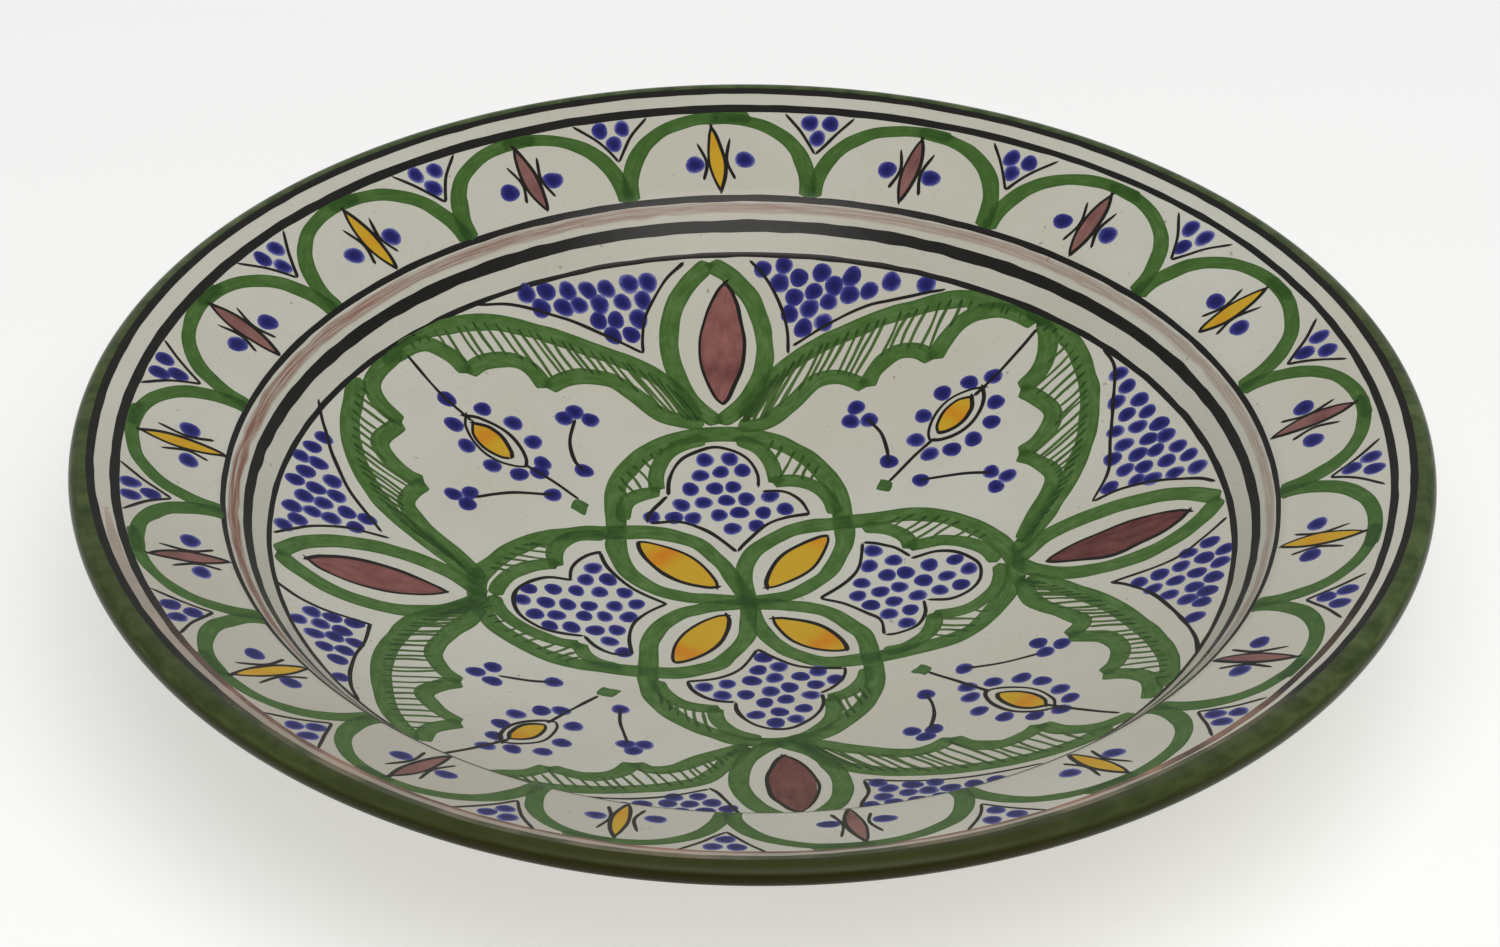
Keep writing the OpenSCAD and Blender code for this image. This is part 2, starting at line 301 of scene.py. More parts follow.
def lip_green():
    """Green glaze, brushed on top of the lip, with painted shade: darker olive where the lip turns down, and
    darker still by its tone.
    """
    t = Tree("green_glaze")
    upward, along, tone = t.brush()
    drawn_out = t.joined(upward, t.times(along, 0.35))
    brushed_on = t.step(t.noise(3.0, 4, 0.6, drawn_out), 0.32, 0.68)
    bright = t.mix(brushed_on, paint(50, 64, 36), paint(84, 97, 59))
    bright = t.mix(tone, bright, paint(58, 61, 40))
    deep = t.mix(t.step(t.noise(16, 4), 0.3, 0.7), paint(50, 60, 36), paint(62, 70, 45))
    deep = t.mix(t.times(t.step(t.noise(120, 4), 0.5, 0.8), 0.4), deep, paint(44, 52, 26))
    deep = t.mix(tone, deep, paint(46, 44, 23))
    # painted shade: the darker olive takes over where the surface faces down
    material = t.glaze(t.mix(t.step(upward, 0.45, 0.85), deep, bright), GLOSS - 0.04)
    # where the tone's painted shade lies, the gloss is duller too
    t.put(t.bsdf.inputs["Specular IOR Level"], t.minus(SPECULAR, t.times(tone, 0.2)))
    return material


def bare_clay():
    t = Tree("bare_clay")
    colour = t.mix(t.noise(60, 5), paint(196, 150, 118), paint(168, 120, 92))
    grit = t.times(t.step(t.noise(900, 2), 0.6, 0.7), 0.5)
    colour = t.mix(grit, colour, paint(120, 84, 64))
    t.put(t.bsdf.inputs["Base Color"], colour)
    t.put(t.bsdf.inputs["Roughness"], t.plus(t.times(t.noise(300, 3), 0.15), 0.78))
    bump = t.add("ShaderNodeBump", {"Strength": 0.6, "Distance": 0.0003, "Height": t.noise(700, 5, 0.6)})
    t.put(t.bsdf.inputs["Normal"], bump.outputs[0])
    return t.material


def pale_floor():
    t = Tree("floor")
    t.put(t.bsdf.inputs["Base Color"], t.mix(t.noise(3, 2), (0.87, 0.87, 0.86, 1), (0.89, 0.89, 0.88, 1)))
    t.bsdf.inputs["Roughness"].default_value = 0.7
    t.bsdf.inputs["Emission Color"].default_value = (1, 1, 1, 1)
    t.bsdf.inputs["Emission Strength"].default_value = FLOOR_GLOW
    t.bsdf.inputs["Specular IOR Level"].default_value = 0.2
    return t.material


# ---------------------------------------------------------------- the turned section

plate_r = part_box("lip_green_glaze")[1][0] / MM
crest_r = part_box("face_glaze")[1][0] / MM
FOOT_R = 72.0            # the foot ring's outside, inside and chamfer, as in part.scad
FOOT_INNER_R = 64.0
FOOT_CHAMFER = 1.2
SECTION_STEP = 0.25
ROUNDING = 1.8           # how far to each side the section's corners are rounded off, mm


def cast(node, radius, upward):
    """Height where a vertical line meets the CAD node, or None."""
    start = Vector((radius * MM, 2e-6, -0.05 if upward else 0.2))
    hit, place, _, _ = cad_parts[node].ray_cast(start, Vector((0, 0, 1 if upward else -1)))
    return place.z / MM if hit else None


def read_stretch(node, radii, upward):
    found = [(r, cast(node, r, upward)) for r in radii]
    return [(r, z) for r, z in found if z is not None]


def read_section():
    """The dish's outline from the middle of the well, round the lip, to the middle of the recess."""
    nose = crest_r + (plate_r - crest_r) * np.sin(np.radians(np.arange(4, 90, 4)))
    face = read_stretch("face_glaze", np.arange(0.2, crest_r - 0.1, 0.4), False)
    over = read_stretch("lip_green_glaze", nose, False)
    under = read_stretch("lip_green_glaze", nose[::-1], True)
    under += read_stretch("lip_green_glaze", np.arange(crest_r - 0.3, crest_r - 3.8, -0.4), True)
    back = read_stretch("back_glaze", np.arange(crest_r - 4.2, FOOT_R + 0.2, -0.4), True)
    foot = [
        (FOOT_R, FOOT_CHAMFER), (FOOT_R - FOOT_CHAMFER, 0),
        (FOOT_INNER_R + FOOT_CHAMFER, 0), (FOOT_INNER_R, FOOT_CHAMFER),
    ]
    recess = read_stretch("back_glaze", np.arange(FOOT_INNER_R - 0.3, 0.1, -0.4), True)
    whole = [(0.0, face[0][1])] + face + over + under + back + foot + recess + [(0.0, recess[-1][1])]
    return np.array(whole)


def travelled(path):
    """Distance along the path at each of its points."""
    return np.r_[0, np.cumsum(np.hypot(*np.diff(path, axis=0).T))]


def resample(path, step):
    """The path's points at even distances of about step, and those distances."""
    gaps = np.hypot(*np.diff(path, axis=0).T)
    path = path[np.r_[True, gaps > 1e-9]]
    length = travelled(path)
    even = np.linspace(0, length[-1], max(int(round(length[-1] / step)), 1) + 1)
    return np.stack([np.interp(even, length, path[:, k]) for k in (0, 1)], axis=1), even


def averaged(path, half):
    """The path under a bell-shaped moving average, mirrored at the axis."""
    n = int(round(half / SECTION_STEP))
    bell = 1 + np.cos(np.linspace(-math.pi, math.pi, 2 * n + 3)[1:-1])
    ends = (path[1:n + 1][::-1] * (-1, 1), path[-n - 1:-1][::-1] * (-1, 1))
    padded = np.vstack([ends[0], path, ends[1]])
    return np.stack([np.convolve(padded[:, k], bell / bell.sum(), "valid") for k in (0, 1)], axis=1)


section, section_s = resample(read_section(), SECTION_STEP)
section = averaged(section, ROUNDING)
tangent = np.gradient(section, axis=0)
tangent /= np.hypot(*tangent.T)[:, None]
section_normal = np.stack([-tangent[:, 1], tangent[:, 0]], axis=1)
broad = averaged(section_normal, 4 * ROUNDING)          # evens out the CAD's short chords
gentle = np.clip(2 - np.hypot(*(broad - section_normal).T) / 0.022, 0, 1)[:, None]
section_normal = gentle * broad + (1 - gentle) * section_normal
section_normal[0], section_normal[-1] = (0, 1), (0, -1)
rim_at = int(np.argmax(section[:, 0]))
face_r = section[:rim_at, 0]


def along_section(s):
    """Point and outward normal at distance s along the section."""
    point = np.stack([np.interp(s, section_s, section[:, k]) for k in (0, 1)], axis=-1)
    normal = np.stack([np.interp(s, section_s, section_normal[:, k]) for k in (0, 1)], axis=-1)
    return point, normal / np.linalg.norm(normal, axis=-1, keepdims=True)


def s_at_face(radius):
    return np.interp(radius, face_r, section_s[:rim_at])


def s_at_back(radius):
    """Distance along the section where the underside, outside the foot, has this radius."""
    at_foot = (np.arange(len(section)) > rim_at) & (section[:, 0] < FOOT_R + 0.3)
    part = slice(rim_at, int(np.argmax(at_foot)))
    return float(np.interp(-radius, -section[part, 0], section_s[part]))


# ---------------------------------------------------------------- meshes


def make_piece(name, points, faces, normals, brush, material, node):
    mesh = bpy.data.meshes.new(name)
    mesh.from_pydata((points * MM).tolist(), [], faces)
    mesh.polygons.foreach_set("use_smooth", [True] * len(mesh.polygons))
    data = mesh.attributes.new("brush", "FLOAT_VECTOR", "POINT").data
    data.foreach_set("vector", np.ascontiguousarray(brush, dtype=np.float32).ravel())
    mesh.normals_split_custom_set_from_vertices(normals.tolist())
    mesh.materials.append(material)
    piece = bpy.data.objects.new(name, mesh)
    bpy.context.scene.collection.objects.link(piece)
    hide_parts(node)
    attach(piece, "root")


TURNS = 384


def turned_body(name, loop, normal, material, node, tone=0.0):
    """A body turned from an outline (azimuth, point, (r, z)); points on the axis become one point."""
    azimuth = np.arange(TURNS) * 2 * math.pi / TURNS
    c, sn = np.cos(azimuth)[:, None], np.sin(azimuth)[:, None]
    points, normals = (np.stack([x[..., 0] * c, x[..., 0] * sn, x[..., 1]], axis=-1) for x in (loop, normal))
    k = loop.shape[1]
    index = np.arange(TURNS * k).reshape(TURNS, k)
    on_axis = loop[:, :, 0].max(axis=0) < 1e-6
    index[:, on_axis] = index[:1, on_axis]
    used, flat = np.unique(index, return_inverse=True)
    flat = flat.reshape(index.shape)
    after = np.roll(flat, -1, axis=0)
    faces = []
    for j in range(k):
        m = (j + 1) % k
        if not (on_axis[j] and on_axis[m]):
            quads = np.stack([flat[:, j], flat[:, m], after[:, m], after[:, j]], axis=1).tolist()
            faces += [list(dict.fromkeys(quad)) for quad in quads]
    brush = np.zeros((TURNS, k, 3))
    brush[..., 0] = normal[..., 1]
    brush[..., 1] = azimuth[:, None] * plate_r / 10
    brush[..., 2] = np.broadcast_to(tone, TURNS)[:, None]
    points, normals, brush = (x.reshape(-1, 3)[used] for x in (points, normals, brush))
    make_piece(name, points, faces, normals, brush, material, node)


def turned_skin(name, start, end, count, thickness, material, node, lift=0.0, tone=0.0):
    """A closed skin on the section between the distances start and end, which may vary by azimuth."""
    a, b = (np.broadcast_to(x, TURNS)[:, None] for x in (start, end))
    outer, n_out = along_section(a + (b - a) * np.linspace(0, 1, count))
    inner, n_in = along_section(a + (b - a) * np.linspace(1, 0, (count + 3) // 4))
    loop = np.concatenate([outer + n_out * lift, inner + n_in * (lift - thickness)], axis=1)
    turned_body(name, loop, np.concatenate([n_out, -n_in], axis=1), material, node, tone)


def on_face(xy, lift):
    """Plan points laid on the glazed upper side, raised by lift, and the glaze's normals there."""
    radius = np.hypot(xy[:, 0], xy[:, 1])
    point, normal = along_section(s_at_face(radius))
    outward = xy / np.maximum(radius, 1e-9)[:, None]
    normals = np.column_stack([outward * normal[:, :1], normal[:, 1]])
    points = np.column_stack([outward * point[:, :1], point[:, 1]])
    return points + normals * np.reshape(lift, (-1, 1)), normals


def smooth_line(points, step=1.0, closed=False):
    """A smooth line through the points, at even distances."""
    p = np.array(points, dtype=float)
    if len(p) == 2 and not closed:
        return resample(p, step)[0]
    if closed:
        p = np.vstack([p[-1:], p, p[:2]])
    else:
        p = np.vstack([2 * p[:1] - p[1:2], p, 2 * p[-1:] - p[-2:-1]])
    t = np.linspace(0, 1, 13)[:-1, None]
    out = []
    for a, b, c, d in zip(p, p[1:], p[2:], p[3:]):
        square, cube = 2 * a - 5 * b + 4 * c - d, 3 * b - a - 3 * c + d
        out.append(0.5 * (2 * b + (c - a) * t + square * t**2 + cube * t**3))
    out.append(p[-2:-1])
    return resample(np.vstack(out), step)[0]


def waver(count, spacing, closed=False):
    """Smooth seeded noise of about unit size, with a new value every so many samples."""
    knots = max(int(count / spacing), 3)
    values = rng.normal(size=knots)
    values = np.r_[values, values[0] if closed else rng.normal()]
    x = np.linspace(0, knots, count, endpoint=not closed)
    i = np.minimum(x.astype(int), knots - 1)
    f = (1 - np.cos((x - i) * math.pi)) / 2
    return values[i] * (1 - f) + values[i + 1] * f


def wandering(path, spacing, size):
    """The path, moved about by smooth noise of this size."""
    return path + np.stack([waver(len(path), spacing), waver(len(path), spacing)], axis=1) * size


def distances(a, b):
    """How far each point of a is from each point of b."""
    return np.hypot(a[:, :1] - b[None, :, 0], a[:, 1:] - b[None, :, 1])


def leftward(gaps):
    """Unit vectors to the left of these directions."""
    unit = gaps / np.maximum(np.hypot(*gaps.T), 1e-9)[:, None]
    return np.stack([-unit[:, 1], unit[:, 0]], axis=1)


def bowed(a, b, step, bend=0.0):
    """A smooth line from a to b with its middle moved by bend."""
    a, b = np.array(a, dtype=float), np.array(b, dtype=float)
    return smooth_line([a, (a + b) / 2 + bend, b], step)


def lens(spine, width, power, lean=1.0):
    """Widths along a spine that swell to width in the middle; lean moves the widest place."""
    return width * np.sin(math.pi * np.linspace(0, 1, len(spine)) ** lean) ** power


def drifted(xy):
    """The border's plan points, moved out on the side towards the camera."""
    xy = np.asarray(xy, dtype=float)
    radius = np.hypot(xy[..., 0], xy[..., 1])
    degrees = np.degrees(np.arctan2(xy[..., 1], xy[..., 0]))
    extra = by_azimuth(degrees, *BORDER_DRIFT) * np.clip((radius - 137) / 22, 0, 1)
    return xy * (1 + extra / radius)[..., None]


WIDE = np.array([-1, -0.85, -0.45, 0, 0.45, 0.85, 1])
NARROW = np.array([-1, 0, 1])
SINK = -0.16             # how far below the glaze's surface a film's underside lies, mm
STACK_STEP = 0.004       # how much higher each of a few marks in turn lies, so that none coincide, mm
SIDE_LIFT = 0.6          # the lift of a film's sides, as a part of its lift
OVERLAP_TONE = 0.42      # how much darker green over green is
OVERLAP_MOST = 1.4       # where strokes pile up, it counts at most this many times
OVERLAP_EDGE = 0.5       # how far inside the other stroke it is reached, mm
DOT_SIDES = 18
DOT_RINGS = np.array([0.45, 0.78, 1.0])
greens = []              # middle lines and half widths of the green strokes, to find overlaps


class Film:
    """One paint's marks on one part of the pattern, gathered into one piece."""

    def __init__(self, name, material, slot, lift, overlapping=False, drifting=False):
        self.name, self.material, self.slot, self.lift = name, material, slot, lift
        self.overlapping, self.drifting = overlapping, drifting
        self.points, self.normals, self.brush, self.faces = [], [], [], []
        self.count = 0
        self.marks = []

    def take(self, top, lifts, brush, faces, floor_rows):
        """Adds one closed mark: its top points in plan, and copies of some of them underneath."""
        high, n_high = on_face(top, lifts)
        low, n_low = on_face(top[floor_rows], SINK)
        self.points += [high, low]
        self.normals += [n_high, n_low]
        self.brush += [brush, brush[floor_rows]]
        self.faces += [[int(i) + self.count for i in face] for face in faces]
        self.marks.append((self.count, len(top), len(greens) - 1 if self.overlapping else -1))
        self.count += len(high) + len(low)

    def stroke(self, path, width, taper=(0.5, 0.5), closed=False, rough=0.05, tone=0.0, columns=WIDE):
        """A brush or pen stroke along a path of even points; width may be one value per point."""
        path = drifted(path) if self.drifting else np.asarray(path)
        if closed:
            path = path[:-1]
            gap = np.roll(path, -1, axis=0) - np.roll(path, 1, axis=0)
        else:
            gap = np.gradient(path, axis=0)
        n = len(path)
        s = travelled(path)
        left = leftward(gap)
        half = np.broadcast_to(np.asarray(width, dtype=float), (n,)) / 2
        fit = np.ones(n)
        if not closed:
            for distance, reach in ((s, taper[0]), (s[-1] - s, taper[1])):
                x = np.clip(distance / max(reach, 1e-6), 0, 1)
                fit *= np.sqrt(np.clip(1 - (1 - x) ** 2, 0.0004, 1))
        spacing = 5 / max(s[-1] / n, 1e-3)
        sides = [half * fit * (1 + rough * waver(n, spacing, closed)) for _ in (0, 1)]
        reach = np.where(columns[None] < 0, sides[0][:, None], sides[1][:, None]) * columns
        top = (path[:, None] + left[:, None] * reach[..., None]).reshape(-1, 2)
        m = len(columns)
        lift = self.lift + STACK_STEP * (len(self.marks) % 9)
        lifts = np.tile(np.where(np.abs(columns) > 0.99, lift * SIDE_LIFT, lift), n)
        start = rng.uniform(0, 50)
        brush = np.zeros((n, m, 3))
        brush[..., 0] = columns
        brush[..., 1] = ((s + start) / 10)[:, None]
        brush[..., 2] = np.broadcast_to(np.asarray(tone, dtype=float), (n,))[:, None]
        if self.overlapping:
            greens.append((path, half * fit))
        index = np.arange(n * m).reshape(n, m)
        low = n * m + index
        faces = []
        for i in range(n if closed else n - 1):
            j = (i + 1) % n
            for c in range(m - 1):
                faces.append([index[i, c], index[j, c], index[j, c + 1], index[i, c + 1]])
                faces.append([low[i, c], low[i, c + 1], low[j, c + 1], low[j, c]])
            faces.append([low[i, 0], low[j, 0], index[j, 0], index[i, 0]])
            faces.append([index[i, -1], index[j, -1], low[j, -1], low[i, -1]])
        if not closed:
            faces.append([*low[0][::-1], *index[0]])
            faces.append([*low[-1], *index[-1][::-1]])
        self.take(top, lifts, brush.reshape(-1, 3), faces, index.ravel())

    def pen(self, path, width, taper, rough, tone=0.0):
        """A thin stroke of even colour across."""
        self.stroke(path, width, taper=taper, rough=rough, tone=tone, columns=NARROW)

    def dot(self, place, size, stretch, angle, tone):
        """A dot about size wide, longer by stretch along angle."""
        place = drifted(place) if self.drifting else place
        turns = DOT_SIDES
        a = np.arange(turns) * 2 * math.pi / turns
        uneven = 1 + 0.05 * np.cos(2 * a + rng.uniform(0, 6)) + 0.035 * np.cos(3 * a + rng.uniform(0, 6))
        x, y = np.cos(a) * uneven * stretch, np.sin(a) * uneven
        c, sn = math.cos(angle), math.sin(angle)
        shape = np.stack([x * c - y * sn, x * sn + y * c], axis=1)
        top = np.vstack([np.zeros((1, 2))] + [shape * r for r in DOT_RINGS]) * size / 2 + place
        lift = self.lift + STACK_STEP * (len(self.marks) % 5)
        lifts = np.r_[np.full(1 + 2 * turns, lift), np.full(turns, lift * SIDE_LIFT)]
        brush = np.zeros((len(top), 3))
        brush[1:, 0] = np.repeat(DOT_RINGS, turns)
        brush[:, 1] = rng.uniform(0, 50)
        brush[:, 2] = tone
        ring = [1 + k * turns + np.arange(turns + 1) % turns for k in range(4)]
        faces = [[0, ring[0][i], ring[0][i + 1]] for i in range(turns)]
        for low, high in zip(ring, ring[1:]):
            faces += [[low[i], high[i], high[i + 1], low[i + 1]] for i in range(turns)]
        faces.append(ring[3][:turns][::-1])
        self.take(top, lifts, brush, faces, ring[2][:turns])

    def darken_overlaps(self):
        """Deepens the tone where another green stroke crosses."""
        counts = [len(path) for path, _ in greens]
        line = np.vstack([path for path, _ in greens])
        half = np.concatenate([h for _, h in greens])
        starts = np.r_[0, np.cumsum(counts)[:-1]]
        points = np.vstack(self.points)
        brush = np.vstack(self.brush)
        for first, size, own in self.marks:
            near = half[None] - distances(points[first:first + size, :2], line)
            cover = np.clip(np.maximum.reduceat(near, starts, axis=1) / OVERLAP_EDGE, 0, 1)
            if own >= 0:
                cover[:, own] = 0
            brush[first:first + size, 2] += OVERLAP_TONE * np.clip(cover.sum(axis=1), 0, OVERLAP_MOST)
        self.brush = [brush]

    def build(self, darken=False):
        if darken:
            self.darken_overlaps()
        points, normals, brush = (np.vstack(x) for x in (self.points, self.normals, self.brush))
        name = self.name + "_paint"
        make_piece(name, points, self.faces, normals, brush, self.material, self.name)


# ---------------------------------------------------------------- the turned bodies

FACE_END_R = 168.4       # the cream face stops here, under the rim's outer line
LIP_BACK_R = 166.2       # the green lip stops about here on the underside
CLAY_DEPTH = 0.3         # how far the clay lies below the glaze's surface, mm
FACE_SKIN = 0.45         # thickness of the glaze skins, mm
BACK_SKIN = 0.5
LIP_SKIN = 0.6
BACK_LIFT = 0.05         # how far above the section the back's glaze lies, mm
LIP_LIFT = 0.12          # and the green
FACE_POINTS = 201        # points across each skin's outside
BACK_POINTS = 161
RECESS_POINTS = 81
LIP_POINTS = 61
# the rim's outer line by azimuth: it wanders, mostly on the side towards the camera
RIM_LINE_R = (
    (0, 167.6), (60, 167.5), (120, 167.6), (150, 168.1), (180, 167.5), (190, 166.8),
    (202, 166.2), (214, 165.8), (230, 167.2), (242, 168.1), (254, 168.1), (270, 167.4),
    (286, 165.8), (302, 164.7), (318, 165.6), (334, 166.8),
)
# painted shade on the green lip, by azimuth: darkest and dullest on the side towards the camera
LIP_PAINTED_SHADE = (
    (0, 0.15), (150, 0.1), (180, 0.25), (210, 0.45), (240, 0.85),
    (262, 1.0), (285, 0.9), (300, 0.6), (330, 0.15),
)
# how much further out the border is painted, by azimuth
BORDER_DRIFT = (
    (0, 0), (200, 0), (214, 0.8), (230, 2.8), (242, 4.2), (254, 4.6),
    (270, 4.0), (286, 2.2), (302, 0.5), (318, 0),
)


def make_bodies():
    cream = cream_glaze()
    azimuth = np.arange(TURNS) * 2 * math.pi / TURNS
    middle = float(section_s[-1])
    foot_outside, foot_inside = section_s[np.flatnonzero(section[:, 1] < FOOT_CHAMFER)[[0, -1]]]

    # the clay lies a film's depth below the glaze, and comes out at the bare foot
    s = np.r_[np.arange(0, foot_outside - 4, 2.5), np.arange(foot_outside - 4, foot_inside + 4, 0.4),
              np.arange(foot_inside + 4, middle - 1, 2.5), middle]
    surface, normal = along_section(s)
    foot_middle, foot_half = (foot_outside + foot_inside) / 2, (foot_inside - foot_outside) / 2
    bare = np.clip((6 - np.abs(s - foot_middle) + foot_half) / 4, 0, 1)
    surface = surface - normal * (CLAY_DEPTH * (1 - bare))[:, None]
    loop, normals = (np.broadcast_to(x, (TURNS, *x.shape)) for x in (surface, normal))
    turned_body("clay_dish", loop, normals, bare_clay(), "clay_body")

    face_end = s_at_face(FACE_END_R)
    turned_skin("face_glaze_skin", 0.0, face_end, FACE_POINTS, FACE_SKIN, cream, "face_glaze")
    edge = foot_outside - 1.4 + 0.35 * np.sin(3 * azimuth) + 0.25 * np.sin(8 * azimuth + 1)
    turned_skin(
        "back_glaze_skin", s_at_back(LIP_BACK_R + 1.5), edge, BACK_POINTS, BACK_SKIN,
        cream, "back_glaze", BACK_LIFT,
    )
    edge = foot_inside + 1.6 + 0.3 * np.sin(2 * azimuth) + 0.25 * np.sin(7 * azimuth + 1)
    turned_skin(
        "recess_glaze_skin", edge, middle, RECESS_POINTS, BACK_SKIN,
        cream, "back_glaze", BACK_LIFT,
    )

    # the green's lower edge wavers, and painted shade makes it darkest on the side towards the camera
    degrees = np.degrees(azimuth)
    waves = 1.1 * np.sin(2 * azimuth + 1) + 0.7 * np.sin(5 * azimuth) + 0.5 * np.sin(11 * azimuth + 2)
    start = s_at_face(by_azimuth(degrees, *RIM_LINE_R) - 0.3)
    end = s_at_back(LIP_BACK_R) + 1.2 + waves
    turned_skin(
        "lip_glaze_skin", start, end, LIP_POINTS, LIP_SKIN,
        lip_green(), "lip_green_glaze", lift=LIP_LIFT, tone=by_azimuth(degrees, *LIP_PAINTED_SHADE),
    )


# ---------------------------------------------------------------- the painted rings

# how far above the glaze each layer of paint lies, mm
WASH_LIFT = 0.05         # the brown wash, petals, almonds, arches and the bands round the trefoils
LEAF_LIFT = 0.055        # the leaves' bands
OVAL_LIFT = 0.06         # the ovals' bands, the buds and the border's dots
DOT_LIFT = 0.065         # the well's dots
LINE_LIFT = 0.07         # the inner rim line, the line at the arches' feet and the shoulder's band
EDGE_LIFT = 0.09         # the well's edge line
PEN_LIFT = 0.11          # pen strokes and hatches
RIM_LIFT = 0.16          # the outer rim line, where the cream meets the green


def polar(radius, degrees):
    a = np.radians(degrees)
    return np.stack([radius * np.cos(a), radius * np.sin(a)], axis=-1)


def by_azimuth(degrees, *knots):
    """A value that changes smoothly round the dish, through (azimuth, value) knots."""
    a, v = zip(*knots)
    return np.interp(degrees, a, v, period=360)


def ring(film, radius, width, haze_and_wash, rough=0.06):
    """A painted ring; radius, width and tone are knots by azimuth."""
    degrees = np.linspace(0, 360, 721)
    path = polar(by_azimuth(degrees, *radius), degrees)
    width, tone = by_azimuth(degrees[:-1], *width), by_azimuth(degrees[:-1], *haze_and_wash)
    film.stroke(path, width, closed=True, rough=rough, tone=tone)


def black_ring(name, material, lift, *knots, rough=0.06):
    """One black ring in a film of its own."""
    film = Film(name, material, "black_paint", lift)
    ring(film, *knots, rough=rough)
    film.build()


INNER_LINE_R = (
    (0, 162.3), (40, 162.1), (95, 161.5), (180, 161.4), (202, 161.3), (214, 162), (230, 163.9),
    (242, 165.3), (254, 165.7), (270, 165.1), (286, 163.4), (302, 161.9), (318, 161.8), (334, 162.6),
)


def make_inner_rim_line():
    """The inner line, and a pale wash between the two lines on the side towards the camera."""
    film = Film("rim_line_inner", fading_black("rim_inner_black"), "black_paint", LINE_LIFT)
    width = (
        (0, 2.0), (40, 1.7), (70, 2.3), (100, 2.7), (150, 2.5),
        (200, 2.2), (225, 2.8), (290, 2.8), (320, 2.0),
    )
    # its tone by azimuth, highest towards the camera: painted reflection and haze
    haze_and_wash = ((0, 0.1), (90, 0), (180, 0.05), (205, 0.5), (225, 1.0), (290, 1.0), (310, 0.6), (345, 0.2))
    ring(film, INNER_LINE_R, width, haze_and_wash)
    degrees = np.linspace(186, 300, 229)
    middle = (by_azimuth(degrees, *INNER_LINE_R) + by_azimuth(degrees, *RIM_LINE_R)) / 2
    film.stroke(polar(middle, degrees), 3.0, taper=(30, 30), rough=0.1, tone=1.5)
    film.build()


def make_ridge_wash():
    film = Film("ridge_brown_wash", ridge_wash(), "brown_wash", WASH_LIFT)
    width = ((0, 2.2), (90, 2.2), (180, 2.9), (270, 2.5))
    haze_and_wash = ((0, 0.6), (90, 0.75), (140, 0.95), (185, 1.25), (230, 1.0), (300, 0.55))
    ring(film, ((0, 132.3),), width, haze_and_wash, rough=0.1)
    film.build()


def make_rings():
    """The painted rings, from the rim to the well."""
    # each black ring: name, material and lift, then knots by azimuth for its radius, width and tone; the
    # tones rise towards the camera as painted reflection and haze, and the outer line's olive there is
    # painted shade
    black_ring(
        "rim_line_outer", fading_black("rim_black", (108, 101, 82), (68, 74, 51)), RIM_LIFT,
        RIM_LINE_R, ((0, 2.0), (60, 2.1), (180, 2.2), (270, 2.0)),
        ((0, 0.1), (90, 0), (185, 0.05), (205, 0.3), (225, 0.8), (240, 1), (275, 1), (300, 0.9), (318, 0.4)),
    )
    make_inner_rim_line()
    black_ring(
        "border_foot_line", fading_black("foot_black"), LINE_LIFT,
        ((0, 134.2), (90, 134.1), (180, 134.9), (270, 134.6)),
        ((0, 1.2), (90, 1.5), (180, 1.3), (270, 1.0)), ((0, 0), (200, 0), (270, 0.5), (330, 0)),
    )
    make_ridge_wash()
    black_ring(
        "shoulder_black_band", fading_black("shoulder_black"), LINE_LIFT, ((0, 129.0),),
        ((0, 2.0), (90, 2.2), (180, 2.1), (270, 1.9)), ((0, 0), (240, 0), (270, 0.25), (300, 0)),
    )
    black_ring(
        "well_edge_line", fading_black("well_black"), EDGE_LIFT,
        ((0, 123.9), (90, 123.6), (180, 123.8)), ((0, 1.5), (45, 1.5), (90, 1.3), (180, 1.3), (270, 1.0)),
        ((0, 0), (220, 0), (270, 0.35), (310, 0)), rough=0.1,
    )


# ---------------------------------------------------------------- the painted pattern

# directions of the arches' feet, going anticlockwise, and which petals between them are yellow
ARCH_FEET = [12, 34, 56, 77.5, 99, 119.5, 140.5, 162, 182, 201.5, 222.5, 243, 262, 285.5, 310, 331, 352]
YELLOW_ARCHES = {0, 3, 5, 7, 9, 11, 13, 15}
# half an arch: how far from its middle, as a part of its half width, and the radius there
ARCH_SIDE = [
    (0.0, 158.7), (0.24, 158), (0.47, 156), (0.67, 152.6), (0.79, 149.2),
    (0.85, 146.6), (0.92, 142.5), (0.955, 139), (0.97, 134.5),
]


def make_border():
    greens_film = Film(
        "border_green_arches", green_paint, "green_paint", WASH_LIFT, overlapping=True, drifting=True,
    )
    yellow_film = Film("border_yellow_petals", yellow_paint, "yellow_paint", WASH_LIFT, drifting=True)
    mauve_film = Film("border_mauve_petals", pale_mauve_paint, "mauve_paint", WASH_LIFT, drifting=True)
    blue_film = Film("border_blue_dots", blue_paint, "blue_paint", OVAL_LIFT, drifting=True)
    black_film = Film("border_black_strokes", black_paint, "black_paint", PEN_LIFT, drifting=True)
    for k, start in enumerate(ARCH_FEET):
        end = ARCH_FEET[(k + 1) % len(ARCH_FEET)] + (360 if k == len(ARCH_FEET) - 1 else 0)
        middle, half = (start + end) / 2, (end - start) / 2
        make_arch(greens_film, middle, half)
        make_petal(yellow_film if k in YELLOW_ARCHES else mauve_film, black_film, blue_film, middle)
        make_spandrel(black_film, blue_film, start)
    greens_film.build(darken=True)
    for film in (yellow_film, mauve_film, blue_film, black_film):
        film.build()


def make_arch(film, middle, half):
    """Two brush strokes that meet a little past the crown."""
    meet = rng.uniform(0.05, 0.25)
    for sign in (-1, 1):
        side = [(sign * part, radius) for part, radius in ARCH_SIDE]
        start = (-sign * (0.16 - sign * meet), 158.5)
        path = smooth_line([polar(radius, middle - part * half) for part, radius in [start] + side])
        width = np.interp(np.hypot(*path.T), (147, 157), (4.6, 3.6)) * rng.uniform(0.95, 1.05)
        film.stroke(path, width, taper=(1.6, 0.6), rough=0.05, tone=0.1)


